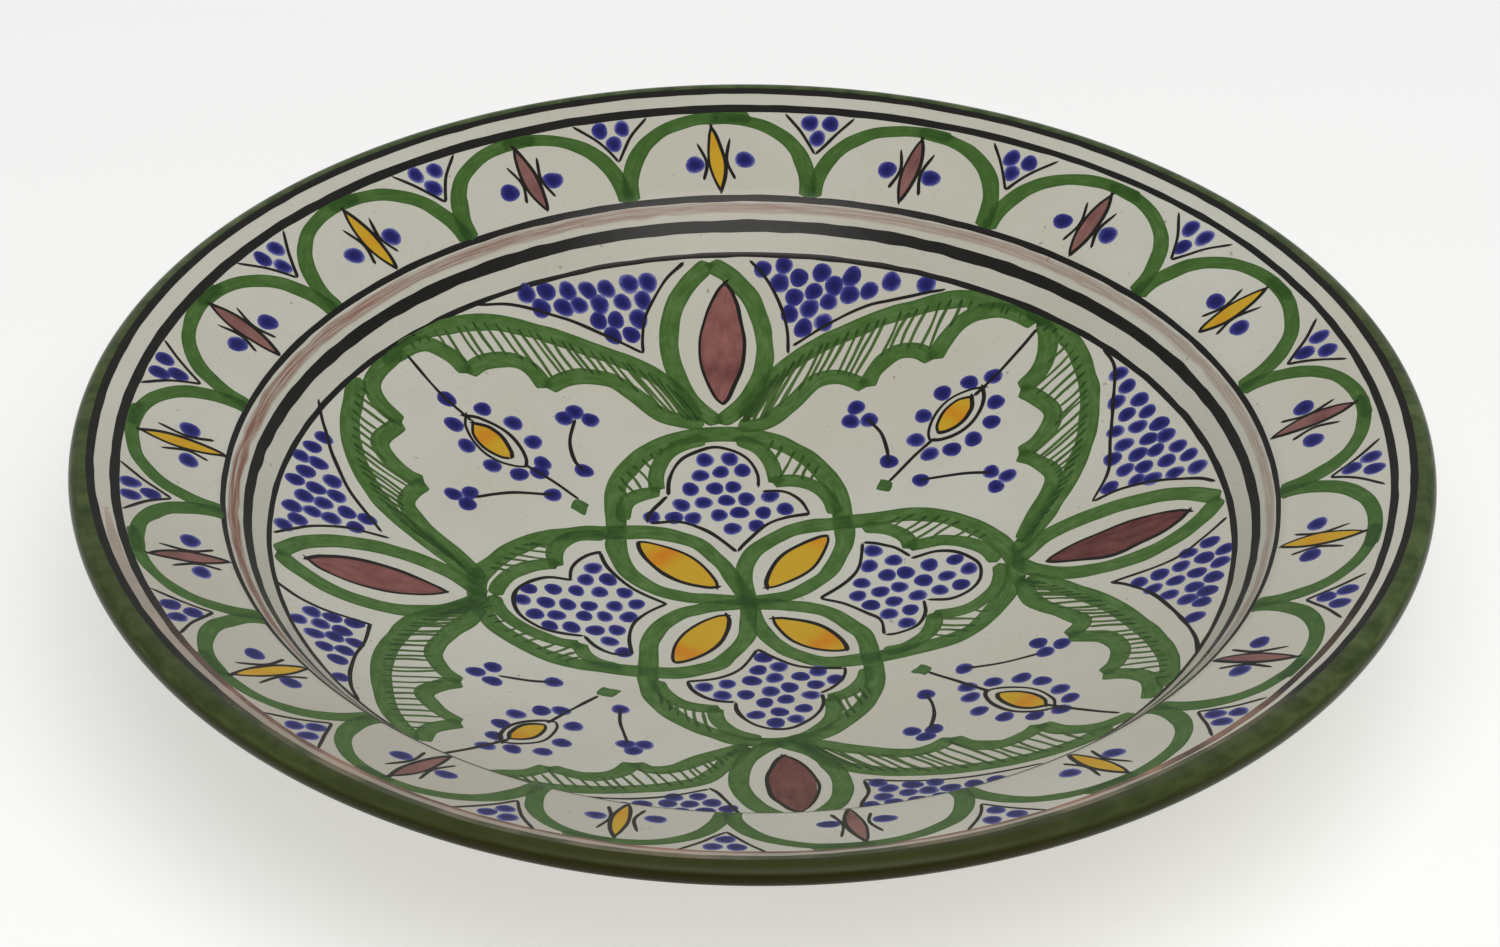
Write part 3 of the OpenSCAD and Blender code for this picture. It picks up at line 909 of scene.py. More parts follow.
def make_petal(film, black, blue, middle):
    """A slim petal with its outline, a bracket stroke and a dot on each side."""
    lean = rng.uniform(-1, 1)
    top = polar(rng.uniform(155.8, 157.2), middle - lean / 2 + rng.uniform(-0.3, 0.3))
    foot = polar(rng.uniform(135.4, 136.4), middle + lean / 2)
    length = np.linalg.norm(top - foot)
    along = (top - foot) / length
    across = np.array([-along[1], along[0]])
    spine = bowed(foot, top, 0.7, across * rng.uniform(-0.4, 0.4))
    profile = lens(spine, rng.uniform(4.2, 4.8), 0.8)
    s = np.linspace(0, 1, len(spine))
    spot = 0.25 * np.exp(-((s - rng.uniform(0.2, 0.8)) / 0.18) ** 2)
    film.stroke(spine, profile, taper=(0.3, 0.3), rough=0.06, tone=spot)
    outline(black, spine, profile, 0.9, past=0.8)
    centre = foot + along * length * 0.46
    far_side = rng.choice([-1, 1])
    for side in (-1, 1):
        offset = across * side
        near = rng.uniform(2.7, 3.1)
        reach = rng.uniform(6.2, 7.6)
        flick = [centre + offset * (near + 1.9) + along * reach, centre + offset * near,
                 centre + offset * (near + 1.5) - along * (reach - 0.6)]
        black.pen(smooth_line(flick, 0.7), 0.9, (3.5, 0.9), 0.12)
        spread = rng.uniform(6.4, 8.2) if side == far_side else rng.uniform(5.8, 6.4)
        place = centre + offset * spread - along * rng.uniform(0.2, 1.6)
        blue.dot(place, rng.uniform(5.0, 5.4), 1.08, math.radians(middle + 90), rng.uniform(-0.08, 0.05))


def make_spandrel(black, blue, foot):
    """A V of two pen strokes over an arch's foot, with three dots in it."""
    apex = polar(147.5 + rng.uniform(-0.6, 0.6), foot + rng.uniform(-0.15, 0.15))
    for side in (-1, 1):
        arm = [apex, polar(151, foot + side * 0.9), polar(155, foot + side * 1.95),
               polar(160.2, foot + side * rng.uniform(3.4, 3.9))]
        black.pen(smooth_line(arm, 0.8), 0.85, (0.5, 2.5), 0.12)
    for radius, offset in ((157.3, -0.95), (157.3, 1.1), (152.6, 0.15)):
        place = polar(radius + rng.uniform(-0.5, 0.5), foot + offset + rng.uniform(-0.15, 0.15))
        blue.dot(place, rng.uniform(4.5, 4.9), 1.14, math.radians(foot), rng.uniform(-0.08, 0.06))


def edges_of(spine, width):
    """The two sides of a stroke with this spine and width."""
    across = leftward(np.gradient(spine, axis=0)) * (width / 2)[:, None]
    return spine + across, spine - across


def outline(film, spine, width, weight, past=0.0, wander=0.15):
    """A black pen line down each side of a petal, running a little past its tips."""
    for k, side in enumerate(edges_of(spine, width)):
        ahead = spine[-1] - spine[-3]
        ahead = ahead / np.linalg.norm(ahead) * (past + rng.uniform(0, 0.8))
        behind = spine[0] - spine[2]
        behind = behind / np.linalg.norm(behind) * past * rng.uniform(0.2, 1.0)
        tilt = (side[len(side) // 2] - spine[len(spine) // 2]) * 0.25
        first, last = side[0] + behind - tilt * 0.3, side[-1] + ahead - tilt * 0.8
        line = smooth_line(np.vstack([[first], side[2:-2:3], [last]]), 0.8)
        line = wandering(line, 9, wander)
        film.pen(line, weight * (1.15 if k else 0.85), (0.8, 2.0), 0.14)


# ---- the well: four rings that meet at the centre, each a closed line ----
RINGS = {
    "n": [
        (-33, 33), (-32.9, 38), (-32.3, 43.5), (-30.4, 49.4), (-25, 56.7), (-21, 60.2), (-16.6, 63),
        (-10, 64.9), (-3, 65.4), (4, 64.6), (9.3, 63), (14, 60.8), (18, 57.4), (21.5, 53.2), (24.2, 48.6),
        (26.1, 44), (27.3, 38.5), (27.5, 30), (26.6, 20), (22, 10), (17, 5.2), (11, 1.5), (4, 0), (-3, 0),
        (-10, 1.2), (-17, 2.2), (-24, 5), (-29.3, 10), (-32, 15), (-33.3, 22),
    ],
    "w": [
        (-1, 0), (-2.3, 5), (-5.8, 15), (-10, 22.2), (-15, 26.4), (-24, 28.8), (-33, 28.5), (-42, 27.6),
        (-47.5, 26.3), (-52, 24.6), (-57, 21.6), (-61.5, 17.8), (-65, 13.5), (-68.3, 8.9), (-70.7, 4),
        (-71.4, -2), (-71, -7.5), (-69.4, -12.5), (-66.6, -17), (-62.6, -21.3), (-57.2, -25.6),
        (-51.5, -28.6), (-44, -30.3), (-36, -31.4), (-26, -32.3), (-20, -31.9), (-12, -28.7), (-8.5, -25),
        (-4.9, -20), (-2.6, -15), (-1.3, -7),
    ],
    "e": [
        (-1, 5), (-1, 10), (0, 15), (2.6, 20), (5.8, 23), (10, 25.8), (15, 28.2), (25, 28.6),
        (36.5, 28.2), (43, 28), (48, 27), (52.3, 25.2), (56.6, 22.4), (60.8, 18.2), (64.3, 13.6),
        (67, 8.5), (68.8, 2.5), (69, -3), (67.9, -8), (65.6, -12.5), (62.4, -16.8), (59, -21),
        (55, -24.9), (50.6, -27.3), (45.6, -28.6), (36, -29.9), (26, -30.8), (16, -30.2), (8.4, -25),
        (4.6, -20), (2.1, -15), (0.4, -9), (-0.3, -2),
    ],
    "s": [
        (-1, -1.5), (5, -2), (10, -3.4), (15, -5.2), (20, -8.5), (25.3, -16), (27.2, -21), (27.9, -28),
        (27.9, -36), (27.5, -42), (25.8, -48), (22.8, -54), (19.2, -59), (15, -63.6), (10.5, -67),
        (5, -69), (0, -69.6), (-5.5, -69), (-11, -67.2), (-15.6, -63.8), (-20.4, -59), (-24.6, -53.8),
        (-27.6, -48.8), (-29.4, -43), (-30, -37), (-29.4, -30), (-28.4, -20), (-26.8, -15), (-24, -10),
        (-19, -5.2), (-14, -3.2), (-8, -1.8),
    ],
}
# one trefoil in each ring: the black outline, a list of pen strokes
TREFOIL_LINES = {
    "n": [
        [(-18, 43), (-17, 50), (-13, 57), (-6, 60.5), (0, 59.5), (4, 56), (6.5, 50), (6.5, 45)],
        [(7.5, 43.5), (13, 42.5), (17, 39), (18.8, 33.5)],
        [(19, 33.5), (13, 33), (7, 30.5), (1, 24), (-1.5, 20.5)],
        [(-1.5, 20.5), (-5, 25), (-10, 30), (-16, 33), (-24, 32.5)],
        [(-24.5, 32.5), (-24, 36), (-20, 41), (-18, 43)],
    ],
    "w": [
        [(-46, 8), (-53, 8), (-60, 3), (-62, -3), (-61, -9), (-56, -14), (-50, -16), (-44.5, -16.5)],
        [(-44.5, -16.5), (-42, -21), (-38, -24), (-33, -24.5)],
        [(-33, -24), (-33, -17), (-31.5, -10), (-28, -5), (-22, -0.5)],
        [(-22, -0.5), (-30, 5), (-36, 13), (-38, 20)],
        [(-37.5, 20), (-42, 18), (-46, 13), (-46.5, 7.5)],
    ],
    "e": [
        [(43, 10.5), (50, 11), (56, 8.5), (60, 3), (60, -3), (57, -7), (51, -9.5), (45, -8.5)],
        [(44.5, -8.5), (44, -14), (41, -19), (36, -21), (32.5, -21)],
        [(32.5, -21), (32, -14), (29, -10), (24, -5), (18, -1.5)],
        [(18, -1.5), (26, 5), (30, 11), (31.5, 19.5)],
        [(31.5, 19.5), (36, 18.5), (40, 15), (43, 11)],
    ],
    "s": [
        [(13.4, -45.5), (13.2, -50), (11.6, -54.5), (8.5, -59), (4, -62.3), (-0.5, -62.2), (-4.5, -59.8),
         (-7.3, -56), (-8.7, -51.5), (-8.5, -47)],
        [(-8.5, -47), (-13, -46.4), (-16.6, -44), (-19, -40.6), (-20, -36.6)],
        [(-20, -36.5), (-12, -35), (-6, -31), (-0.5, -22)],
        [(-0.5, -22), (4, -27), (10, -31.5), (20.5, -34)],
        [(20.6, -33.5), (20.4, -37), (18.9, -40.6), (16.2, -43.7), (13.4, -45.4)],
    ],
}
# the green band between the trefoil and its ring, one stroke on each side of each cusp
TREFOIL_BANDS = {
    "n": [
        [(-21, 44.9), (-20.8, 50), (-19.6, 54), (-16.8, 58.8), (-12, 62.2), (-6, 63.8)],
        [(-20, 44.9), (-26.3, 43), (-29.8, 39.5), (-31.2, 33)],
        [(11.4, 45.9), (11, 52), (9.7, 56.6), (7, 60.4), (2, 63.2)],
        [(10.2, 46.8), (15.5, 46.6), (19.8, 45), (23, 42), (25, 37.5), (25.8, 32)],
    ],
    "w": [
        [(-49.4, 14.2), (-54.5, 13.1), (-59, 10.5), (-62.8, 6.5), (-65.5, 2.2), (-66.8, -2.4)],
        [(-50.2, 12.8), (-50, 18.5), (-48, 23), (-43.5, 26.3), (-36, 27)],
        [(-45.8, -20.9), (-51, -20.2), (-55.8, -18.2), (-60.3, -15.2), (-64.1, -11.2), (-66.4, -6.8),
         (-66.9, -2)],
        [(-46.2, -19.8), (-45.3, -25), (-42, -28.6), (-36.5, -30.6)],
    ],
    "e": [
        [(42.8, 15), (50.5, 15.5), (55, 14.2), (59.3, 11.6), (63, 7.2), (64.7, 1.5)],
        [(43.8, 14), (43.2, 18.5), (40.5, 22.3), (37.5, 24.4), (32, 25.6)],
        [(45.4, -15.4), (52.8, -15.9), (58, -14), (62.5, -9.5), (64.9, -4), (65, 1)],
        [(46.3, -14.4), (45.3, -19.5), (42.5, -24.3), (37, -27.7), (31, -28.6)],
    ],
    "s": [
        [(-12.6, -50.8), (-19, -49.5), (-23.5, -46.5), (-26.6, -41), (-27.4, -36)],
        [(-14, -49.8), (-14.1, -55), (-12.8, -59.5), (-9.5, -64), (-4, -67.6)],
        [(14.6, -48.4), (19.5, -46.6), (22.8, -43.6), (25.2, -39.5), (26, -35)],
        [(15.7, -47.4), (15.8, -53), (14.8, -58), (12, -62.8), (7.5, -66.8), (2, -69)],
    ],
}
# a lens shaped petal between two rings: outer tip, inner tip, its orange spot and its width
LENSES = [
    ((-28, 25), (-8, 6), (-22, 19), 10.4), ((23, 24.5), (4.5, 4.8), (19, 24), 9.6),
    ((-22.5, -27.5), (-6.5, -5.5), (-19, -23), 10.0), ((22.5, -26), (4.8, -8.3), (18, -20), 9.5),
]


def make_middle():
    band = Film("quatrefoil_green_bands", green_paint, "green_paint", WASH_LIFT, overlapping=True)
    for name, points in RINGS.items():
        line = smooth_line(points, closed=True)
        width = np.interp(np.hypot(*line.T), (26, 38), (4.6, 5.3))
        band.stroke(line, width[:-1], closed=True, rough=0.06)
        for path in TREFOIL_BANDS[name]:
            band.stroke(smooth_line(path), 4.3, taper=(1.2, 2.0), rough=0.07)
    petals = Film("quatrefoil_yellow_petals", yellow_paint, "yellow_paint", WASH_LIFT)
    for outer, inner, spot, width in LENSES:
        spine = bowed(outer, inner, 0.8)
        profile = lens(spine, width, 0.8)
        tone = 0.55 * np.exp(-np.sum((spine - spot) ** 2, axis=1) / 14)
        petals.stroke(spine, profile, taper=(0.3, 0.3), rough=0.04, tone=tone)
        outline(well_black, spine, profile, 1.0, wander=0.12)
    for name in RINGS:
        strokes = [smooth_line(path, 0.8) for path in TREFOIL_LINES[name]]
        for path in strokes:
            well_black.pen(wandering(path, 10, 0.15), rng.uniform(0.9, 1.1), (0.6, 1.4), 0.16)
        fill_dots(well_blue, np.vstack(strokes), 6.0, 1.2, size=4.7)
    petals.build()
    return band


def inside(points, outline_points):
    """Which points lie inside the closed outline."""
    a, b = outline_points, np.roll(outline_points, -1, axis=0)
    px, py = points[:, :1], points[:, 1:]
    crosses = (a[:, 1] > py) != (b[:, 1] > py)
    with np.errstate(divide="ignore", invalid="ignore"):
        at = (b[:, 0] - a[:, 0]) * (py - a[:, 1]) / (b[:, 1] - a[:, 1]) + a[:, 0]
    return (crosses & (px < at)).sum(axis=1) % 2 == 1


def fill_dots(film, area, spacing, margin, size, stretch=1.08, lean=None):
    """Fills a closed area with dots in loose staggered rows."""
    low, high = area.min(axis=0), area.max(axis=0)
    centre = (low + high) / 2
    angle = rng.uniform(-0.25, 0.25)
    turn = np.array([[math.cos(angle), -math.sin(angle)], [math.sin(angle), math.cos(angle)]])
    reach = int(np.max(high - low) / spacing) + 2
    grid = []
    for row in range(-reach, reach + 1):
        for column in range(-reach, reach + 1):
            grid.append(((column + 0.5 * (row % 2)) * spacing, row * spacing * 0.9))
    grid = np.array(grid) @ turn.T + centre
    grid = grid + rng.normal(scale=0.38, size=grid.shape)
    keep = inside(grid, area)
    for place in grid[keep & (distances(grid, area).min(axis=1) > margin)]:
        direction = rng.uniform(0, math.pi) if lean is None else lean + rng.uniform(-0.2, 0.2)
        film.dot(place, rng.uniform(size - 0.35, size + 0.25), stretch, direction, rng.uniform(-0.1, 0.06))


# ---- pointed ovals on the axes ----
# [two sides of the green band, the almond's tips, its width, how far its widest place leans,
# its tone and how much darker a spot on it is]
OVALS = [
    ([(-2, 69), (-9, 77.5), (-12.6, 88), (-13.2, 98), (-11, 108), (-6, 116), (0, 121.5)],
     [(-2, 69), (6.6, 77), (12, 88), (12.9, 98), (11.2, 108), (6.6, 116), (0, 121.5)],
     (-0.6, 76), (4, 115), 12, 1.0, 0.0, 0.3),
    ([(69, 0), (78, 7), (88, 10), (98, 10.6), (108, 8.8), (116, 4.8), (122, -1)],
     [(69, 0), (77, -8.4), (87, -12.2), (98, -13), (108, -11), (116, -6.8), (122, -1)],
     (77, -3), (114, -1.5), 10.8, 1.08, 0.5, 0.0),
    ([(-69, -3), (-78, 4.6), (-88, 8.6), (-98, 9.4), (-108, 7.4), (-116, 2.8), (-122, -4)],
     [(-69, -3), (-78, -11), (-88, -15.2), (-98, -16.2), (-108, -14.2), (-116, -9.4), (-122, -4)],
     (-79, -4), (-114.5, -3), 11.2, 1.15, 0.12, 0.0),
    ([(0, -69), (-8, -77), (-11.6, -88), (-12, -98), (-10, -108), (-5.6, -116), (0, -122)],
     [(0, -69), (8, -77), (12, -88), (12.6, -98), (10.6, -108), (6, -116), (0, -122)],
     (0.4, -77), (0, -115.5), 12, 1.0, 0.4, 0.0),
]


def make_ovals():
    band = Film("mandorla_green_bands", green_paint, "green_paint", OVAL_LIFT, overlapping=True)
    almonds = Film("mandorla_mauve_almonds", mauve_paint, "mauve_paint", WASH_LIFT)
    for left, right, start, end, width, lean, tone, spot in OVALS:
        for side in (left, right):
            band.stroke(smooth_line(side), 5.1, taper=(2.4, 2.4), rough=0.05)
        spine = bowed(start, end, 0.8, rng.uniform(-0.6, 0.6, 2))
        profile = lens(spine, width, 0.72, lean)
        s = np.linspace(0, 1, len(spine))
        tone = tone + spot * np.exp(-((s - 0.28) / 0.09) ** 2)
        almonds.stroke(spine, profile, taper=(0.4, 0.4), rough=0.05, tone=tone)
        outline(well_black, spine, profile, 0.95, past=0.6, wander=0.2)
    almonds.build()
    return band


# ---- the four leaves: each half has a rim, a scalloped inner edge and slanting hatches ----
# [rim, scallops, direction of the hatches from the rim inwards]
LEAF_HALVES = [
    ([(5, 71), (13, 82), (21, 89), (30, 93.5), (45, 98), (60, 99.5), (70, 98), (80, 92.5), (86.5, 86.6),
      (89.5, 83)],
     [[(3, 68), (10, 68.5), (18, 74), (25, 80.5), (31, 81.5), (36, 79), (39, 76.5)],
      [(39, 76.5), (42, 82), (48, 86), (54, 85.5), (58, 81.5)],
      [(58, 81.5), (61, 86), (66, 91), (73, 93), (80, 90.5), (86.5, 84.5)]], (-0.5, -0.87)),
    ([(84.5, 88.5), (87.5, 85.5), (92.5, 79.5), (96, 70), (97, 56), (94, 42), (89, 30), (82, 19), (75, 10),
      (70, 4)],
     [[(87.5, 84), (89, 80), (88, 74), (85, 68), (79.5, 64)],
      [(79.5, 64), (83, 60), (86.5, 54), (85.5, 49), (81, 44), (76, 41.5)],
      [(76, 41.5), (80, 37), (83.5, 31), (82, 25), (77, 17), (72, 8)]], (-0.82, -0.57)),
    ([(-8, 71), (-14, 82), (-22, 88.5), (-35, 94), (-50, 98.5), (-62, 99.5), (-72, 97), (-80, 92.5),
      (-85, 89), (-88, 86)],
     [[(-6, 69), (-12, 70.4), (-18, 73), (-24, 79), (-30, 84), (-37, 85), (-43, 83.5), (-48, 80)],
      [(-48, 80), (-52, 86), (-58, 88), (-65, 86), (-69.5, 81.5)],
      [(-69.5, 81.5), (-73, 86), (-79, 89), (-84, 87.5), (-89, 83), (-91, 80.5)]], (0.5, -0.86)),
    ([(-98.5, 72.5), (-101, 62), (-102, 52), (-100.5, 43), (-97, 33), (-91, 24), (-83, 16), (-76, 9),
      (-70, 2)],
     [[(-87.5, 84.5), (-89, 83), (-93, 77.5), (-95.5, 71), (-93.5, 65.5), (-88, 60)],
      [(-88, 60), (-94, 52), (-92, 46), (-87, 41), (-83, 39.5)],
      [(-83, 39.5), (-87, 34), (-88, 29), (-84, 22), (-77, 14), (-70, 5)]], (0.8, -0.6)),
    ([(-72, -7), (-80, -13), (-88, -20), (-94, -32), (-97, -45), (-97, -60), (-95, -72), (-89.5, -84.5)],
     [[(-71, -8), (-74, -15), (-79, -22), (-84, -33), (-82, -41), (-77.5, -46)],
      [(-77.5, -46), (-83, -50), (-87, -56), (-84, -63), (-78.5, -68.5)],
      [(-78.5, -68.5), (-86, -75), (-88.5, -84)]], (0.93, 0.35)),
    ([(-8, -71), (-12, -77), (-16, -84), (-22, -92), (-35, -97.5), (-48, -100.5), (-60, -101.5),
      (-72, -98.8)],
     [[(-8, -71), (-14, -74.5), (-20, -78), (-27, -84), (-33, -85), (-37, -81.5)],
      [(-37, -81.5), (-42, -89), (-49, -92), (-55, -90), (-58, -88)],
      [(-58, -88), (-64, -94), (-73, -97.5)]], (-0.35, 0.93)),
    ([(71, -8), (80, -17), (88, -28), (94, -42), (97, -55), (97.5, -68), (94, -78.8)],
     [[(70, -8), (71, -18), (77, -27), (81.5, -34), (77, -39)],
      [(77, -39), (85, -44), (88, -52), (86, -58), (82, -62)],
      [(82, -62), (90, -68), (91.5, -76), (90, -83)]], (-0.9, 0.4)),
    ([(6, -71), (8, -76), (14, -86), (25, -93), (40, -97.5), (55, -99), (68, -97.5), (79, -93)],
     [[(6, -71), (12, -73.5), (20, -78), (30, -83), (37, -82), (42, -78)],
      [(42, -78), (46, -84), (53, -87), (60, -84), (63.5, -80.5)],
      [(63.5, -80.5), (68, -87), (76, -90.5), (85, -88.5)]], (-0.5, 0.87)),
]
# hatches between a ring and a trefoil's band: ring, azimuths on the ring, number, direction
GAP_HATCHES = [
    ("n", 154, 120, 7, (0.5, -0.86)), ("n", 63, 34, 6, (-0.47, -0.88)),
    ("e", 72, 26, 9, (-0.86, -0.5)), ("e", -34, -56, 5, (-0.92, 0.38)),
    ("w", 130, 161, 7, (0.99, -0.05)), ("w", 192, 243, 10, (0.8, 0.5)),
    ("s", 208, 241, 6, (-0.05, 1)), ("s", -26, -51, 5, (-0.17, 1)),
]
HATCH_REACH = 26         # how long a hatch may be, mm
HATCH_SPACING = 2.9      # how far apart they start along a leaf's rim, mm
LEAF_REACH_R = 124.0     # the leaves' rims stay inside this radius, under the well's edge line


def hatch(film, starts, inner, direction):
    """Thin strokes from each start to the inner line, running a little over both green bands."""
    direction = np.array(direction) / np.linalg.norm(direction)
    reach = np.arange(2.5, HATCH_REACH, 0.4)
    for start in starts:
        turn = rng.uniform(-0.04, 0.04)
        way = np.array([direction[0] - turn * direction[1], direction[1] + turn * direction[0]])
        ray = start + way * reach[:, None]
        near = np.flatnonzero(distances(ray, inner).min(axis=1) < 1.5)
        if not len(near):
            continue
        length = reach[near[0]] + rng.uniform(-0.6, 0.9)
        bend = np.array([-way[1], way[0]]) * rng.uniform(-0.5, 0.5)
        begin = start + way * rng.uniform(-0.4, 0.9)
        path = smooth_line([begin, (begin + start + way * length) / 2 + bend, start + way * length], 0.8)
        film.pen(path, rng.uniform(0.75, 0.95), (0.6, 2.5), 0.15, rng.uniform(-0.05, 0.15))


def make_leaves():
    band = Film("leaf_green_bands", green_paint, "green_paint", LEAF_LIFT, overlapping=True)
    hatches = Film("leaf_green_hatching", hatch_paint, "green_paint", PEN_LIFT)
    for rim, scallops, direction in LEAF_HALVES:
        rim = smooth_line(rim)
        room = 2 * (LEAF_REACH_R - np.hypot(*rim.T))
        band.stroke(rim, np.clip(room, 2.4, 5.3), taper=(2.0, 2.0), rough=0.05)
        inner = [smooth_line(path) for path in scallops]
        for path in inner:
            band.stroke(path, 4.9, taper=(1.6, 1.6), rough=0.07)
        places = np.arange(rng.uniform(3, 5), len(rim) - 4, HATCH_SPACING)
        starts = rim[(places + rng.normal(scale=0.15, size=len(places))).astype(int)]
        hatch(hatches, starts, np.vstack(inner), direction)
    for name, first, last, count, direction in GAP_HATCHES:
        line = smooth_line(RINGS[name], closed=True)
        x, y = (line - (line.min(axis=0) + line.max(axis=0)) / 2).T
        turn = np.degrees(np.arctan2(y, x)) - np.linspace(first, last, count)[:, None]
        starts = line[np.abs((turn + 180) % 360 - 180).argmin(axis=1)]
        inner = np.vstack([smooth_line(path) for path in TREFOIL_BANDS[name]])
        hatch(hatches, starts, inner, direction)
    return band, hatches


# ---- a small flower in each leaf, and two sprigs beside it ----
# [almond's tips and width, outer outline's tips and width, stems inwards and outwards,
# bud's tips and width, dots]
FLOWERS = [
    (((56, 56), (66.8, 66.3), 6.7), ((53.8, 53.8), (69.8, 68), 10.6),
     [[(55, 54.5), (48, 48.5), (41, 41.5)], [(67, 66), (76, 73), (86.5, 82.5)]],
     ((37.5, 39.5), (42, 41), 5.4),
     [(59, 69.5), (66.5, 71), (73, 71), (53, 63), (72.5, 62), (50, 55), (70.5, 55.5), (65, 51), (59, 49),
      (53, 49)]),
    (((-59.5, 53.5), (-69, 65), 7.0), ((-55.5, 50.8), (-71, 67), 10.6),
     [[(-56, 52), (-49, 47), (-42, 40.5)], [(-69, 65), (-77, 73), (-85.5, 84)]],
     ((-41, 34.5), (-43, 40.5), 5.4),
     [(-75.5, 71.5), (-66, 70), (-58, 66.5), (-53, 60.5), (-51, 53), (-52, 49.5), (-74, 63), (-71, 56),
      (-64.5, 50), (-57.5, 48)]),
    (((-57.5, -63), (-67, -73.5), 5.9), ((-55, -61), (-69, -76), 10.4),
     [[(-57, -62), (-50, -53), (-43, -45)], [(-67, -74), (-74, -80.5), (-84, -90)]],
     ((-37, -42), (-43.5, -44), 4.8),
     [(-53, -54.5), (-58, -55.5), (-64.5, -59), (-68.5, -65.5), (-70.5, -73), (-73, -80), (-66.5, -79.5),
      (-59, -79), (-54, -72.5), (-50.5, -62.5)]),
    (((56, -58.5), (66.5, -71), 6.7), ((53.5, -56), (68.5, -73.5), 11.2),
     [[(54.5, -57), (48, -49), (41, -41.5)], [(66, -70), (74, -78), (82, -86)]],
     ((36.8, -40.2), (42.2, -39.8), 5.6),
     [(49.5, -52.5), (56, -52.5), (63, -53.5), (67.5, -57.5), (71, -64), (72.5, -70), (69.5, -75), (63, -75),
      (56, -72), (50.5, -66), (49.5, -58)]),
]
# [stem from its single dot to its cluster, cluster]
SPRIGS = [
    ([(42, 49), (42, 54), (41, 60), (38, 65.5)], [(35.5, 70), (33.5, 65.5), (38.5, 65)]),
    ([(49.5, 40), (56, 39.8), (62, 39), (68, 37.2)], [(68, 37.5), (72, 34.5), (68.5, 31.5)]),
    ([(-40, 51.5), (-42.2, 55), (-43, 62), (-41, 70)], [(-41, 72.5), (-44, 70), (-37, 70)]),
    ([(-49, 41.5), (-58, 41), (-64, 39.5), (-70, 37)], [(-75.5, 37), (-71, 38.5), (-72, 34)]),
    ([(-54, -40), (-60, -40.4), (-68, -40)], [(-69, -36), (-73.5, -39.5), (-69.5, -43)]),
    ([(-38, -51.5), (-38.6, -58), (-38.2, -64), (-37.5, -70)], [(-38, -70.5), (-33.5, -70.5), (-36.5, -74)]),
    ([(50, -43), (60, -44), (69, -43.5)], [(69.5, -38.5), (70.5, -43.5), (75, -41.5)]),
    ([(39, -52.5), (40, -58), (39.5, -64), (37.5, -71)], [(33, -71), (38.5, -71.5), (36, -75)]),
]


def loose_dot(place, least, most):
    """A dot of the well between these sizes, turned any way."""
    well_blue.dot(place, rng.uniform(least, most), 1.06, rng.uniform(0, math.pi), rng.uniform(-0.1, 0.05))


def make_flowers():
    almonds = Film("leaf_yellow_almonds", yellow_paint, "yellow_paint", WASH_LIFT)
    buds = Film("green_buds", bud_paint, "green_paint", OVAL_LIFT)
    for almond, husk, stems, bud, dots in FLOWERS:
        inner, outer, width = almond
        spine = bowed(inner, outer, 0.7)
        profile = lens(spine, width, 0.7)
        s = np.linspace(0, 1, len(spine))
        tone = 0.45 * np.exp(-((s - rng.uniform(0.2, 0.8)) / 0.2) ** 2)
        almonds.stroke(spine, profile, taper=(0.3, 0.3), rough=0.05, tone=tone)
        outline(well_black, spine, profile, 1.0, wander=0.12)
        inner, outer, width = husk
        spine = bowed(inner, outer, 0.7)
        outline(well_black, spine, lens(spine, width, 0.7), 0.9, past=0.3, wander=0.15)
        for stem in stems:
            well_black.pen(smooth_line(stem, 0.8), 0.95, (0.6, 1.0), 0.14)
        tip, end, bud_width = bud
        spine = smooth_line([tip, end], 0.5)
        s = np.linspace(0, 1, len(spine))
        profile = bud_width * np.minimum(s / 0.55, (1.08 - s) / 0.53) ** 0.8
        buds.stroke(spine, profile, taper=(0.4, 0.8), rough=0.1)
        for place in dots:
            loose_dot(place, 4.7, 5.1)
    for stem, cluster in SPRIGS:
        well_black.pen(smooth_line(stem, 0.8), 0.95, (0.6, 1.4), 0.14)
        for place in [stem[0]] + cluster:
            loose_dot(place, 4.6, 5.0)
    almonds.build()
    buds.build()


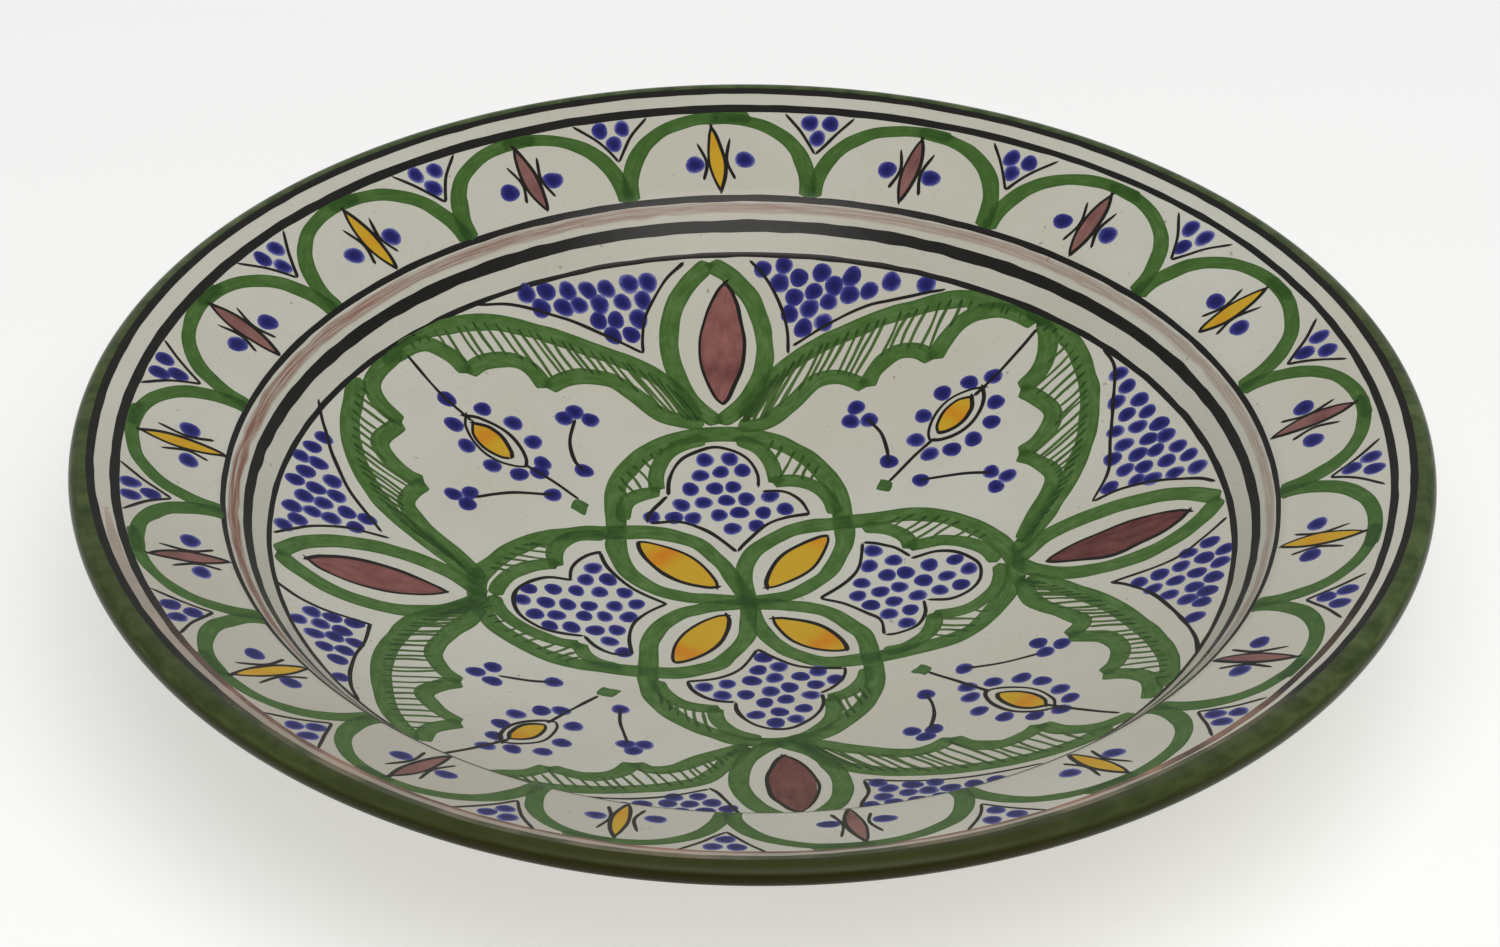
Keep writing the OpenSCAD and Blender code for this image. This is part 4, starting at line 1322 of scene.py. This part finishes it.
# ---- dotted corners beside the ovals: two pen lines, and the well's edge as the third side ----
# [the line beside the oval, the line beside the leaf, the dots' spacing, size and stretch]
CORNERS = [
    ([(11, 121.5), (15, 116), (18, 108), (19.5, 100), (19, 91)],
     [(20.5, 93.5), (30, 98.5), (40, 102.5), (50, 103.5), (64, 103)], 5.8, 5.1, 1.2),
    ([(-7, 122), (-13, 116), (-18, 107), (-20.5, 98), (-21, 93)],
     [(-21, 93.5), (-30, 98.5), (-42, 103.5), (-55, 106), (-66, 104.5)], 5.8, 5.1, 1.2),
    ([(122, 6), (118, 10), (109, 15), (100, 17), (91.5, 15.5)],
     [(91.5, 15.5), (97, 25), (100, 38), (103, 54), (104, 62), (102, 69)], 5.6, 4.8, 1.1),
    ([(122, -10), (115, -15), (108, -19), (100, -20), (91, -20)],
     [(91, -20), (95, -24), (100, -32), (103, -42), (105, -52), (105.5, -60), (104, -68)], 5.6, 4.8, 1.08),
    ([(-123, 4), (-118, 8), (-112, 12), (-103, 14.5), (-93, 14.5)],
     [(-95, 16), (-102, 28), (-106, 40), (-109, 52), (-110, 60)], 5.6, 4.8, 1.1),
    ([(-123, -17), (-117, -22), (-110, -24.5), (-99, -26)],
     [(-99, -26), (-101, -36), (-104, -46), (-105, -58), (-103, -68)], 5.6, 4.8, 1.08),
    ([(-13, -122), (-15, -112), (-18, -100), (-20, -96)],
     [(-20, -97), (-32, -103), (-46, -106), (-60, -106)], 5.6, 4.8, 1.15),
    ([(14, -121), (16, -112), (18, -104), (18, -96)],
     [(18, -96), (30, -101), (44, -104), (60, -105)], 5.6, 4.8, 1.15),
]
CORNER_RIM_R = 122.4


def make_corners():
    for side, base, spacing, size, stretch in CORNERS:
        side, base = smooth_line(side, 0.8), smooth_line(base, 0.8)
        for path in (side, base):
            well_black.pen(wandering(path, 12, 0.15), rng.uniform(0.85, 1.0), (1.2, 2.2), 0.16)
        ends = np.degrees([math.atan2(*base[-1][::-1]), math.atan2(*side[0][::-1])])
        if abs(ends[1] - ends[0]) > 180:
            ends[np.argmin(ends)] += 360
        rim = polar(CORNER_RIM_R, np.linspace(ends[0], ends[1], 60))
        area = np.vstack([side, base, rim])
        middle = area.mean(axis=0)
        radial = math.atan2(middle[1], middle[0])
        fill_dots(well_blue, area, spacing, 0.8, size=size, stretch=stretch, lean=radial)


# ---------------------------------------------------------------- build it all

make_camera()
make_studio()
make_bodies()

green_paint = brushed(
    "green_paint", (98, 124, 76), (66, 96, 46), (42, 69, 28), streak=0.65, mottle=0.6, base=0.36,
)
hatch_paint = brushed(
    "hatch_paint", (92, 114, 68), (70, 94, 48), (38, 62, 28), streak=0.5, base=0.38, edge=0.1,
)
bud_paint = brushed("bud_paint", (84, 116, 66), (58, 88, 46), (40, 64, 34), mottle=0.7)
yellow_paint = brushed(
    "yellow_paint", (189, 156, 50), (186, 146, 40), (194, 112, 22),
    streak=0.35, mottle=0.4, edge=0.0, base=0.3,
)
mauve_paint = brushed(
    "mauve_paint", (142, 94, 90), (120, 77, 73), (80, 46, 45), streak=0.9, mottle=0.6, edge=0.12, base=0.3,
)
pale_mauve_paint = brushed(
    "pale_mauve_paint", (142, 102, 96), (122, 85, 81), (80, 52, 50), streak=0.8, mottle=0.6,
)
black_paint = brushed(
    "black_paint", (58, 54, 50), (36, 35, 32), (24, 23, 24), streak=0.6, mottle=0.5, edge=0.0, base=0.5,
)
blue_paint = dotted("blue_paint")

make_rings()
make_border()
well_black = Film("well_black_strokes", black_paint, "black_paint", PEN_LIFT)
well_blue = Film("well_blue_dots", blue_paint, "blue_paint", DOT_LIFT)
ring_band = make_middle()
oval_band = make_ovals()
leaf_band, hatches = make_leaves()
make_flowers()
make_corners()
for film in (ring_band, oval_band, leaf_band, hatches):
    film.build(darken=True)
well_black.build()
well_blue.build()

bpy.ops.mesh.primitive_circle_add(vertices=128, radius=FLOOR_RADIUS, fill_type="NGON")
floor = bpy.context.object
floor.name = "floor"
floor.data.materials.append(pale_floor())
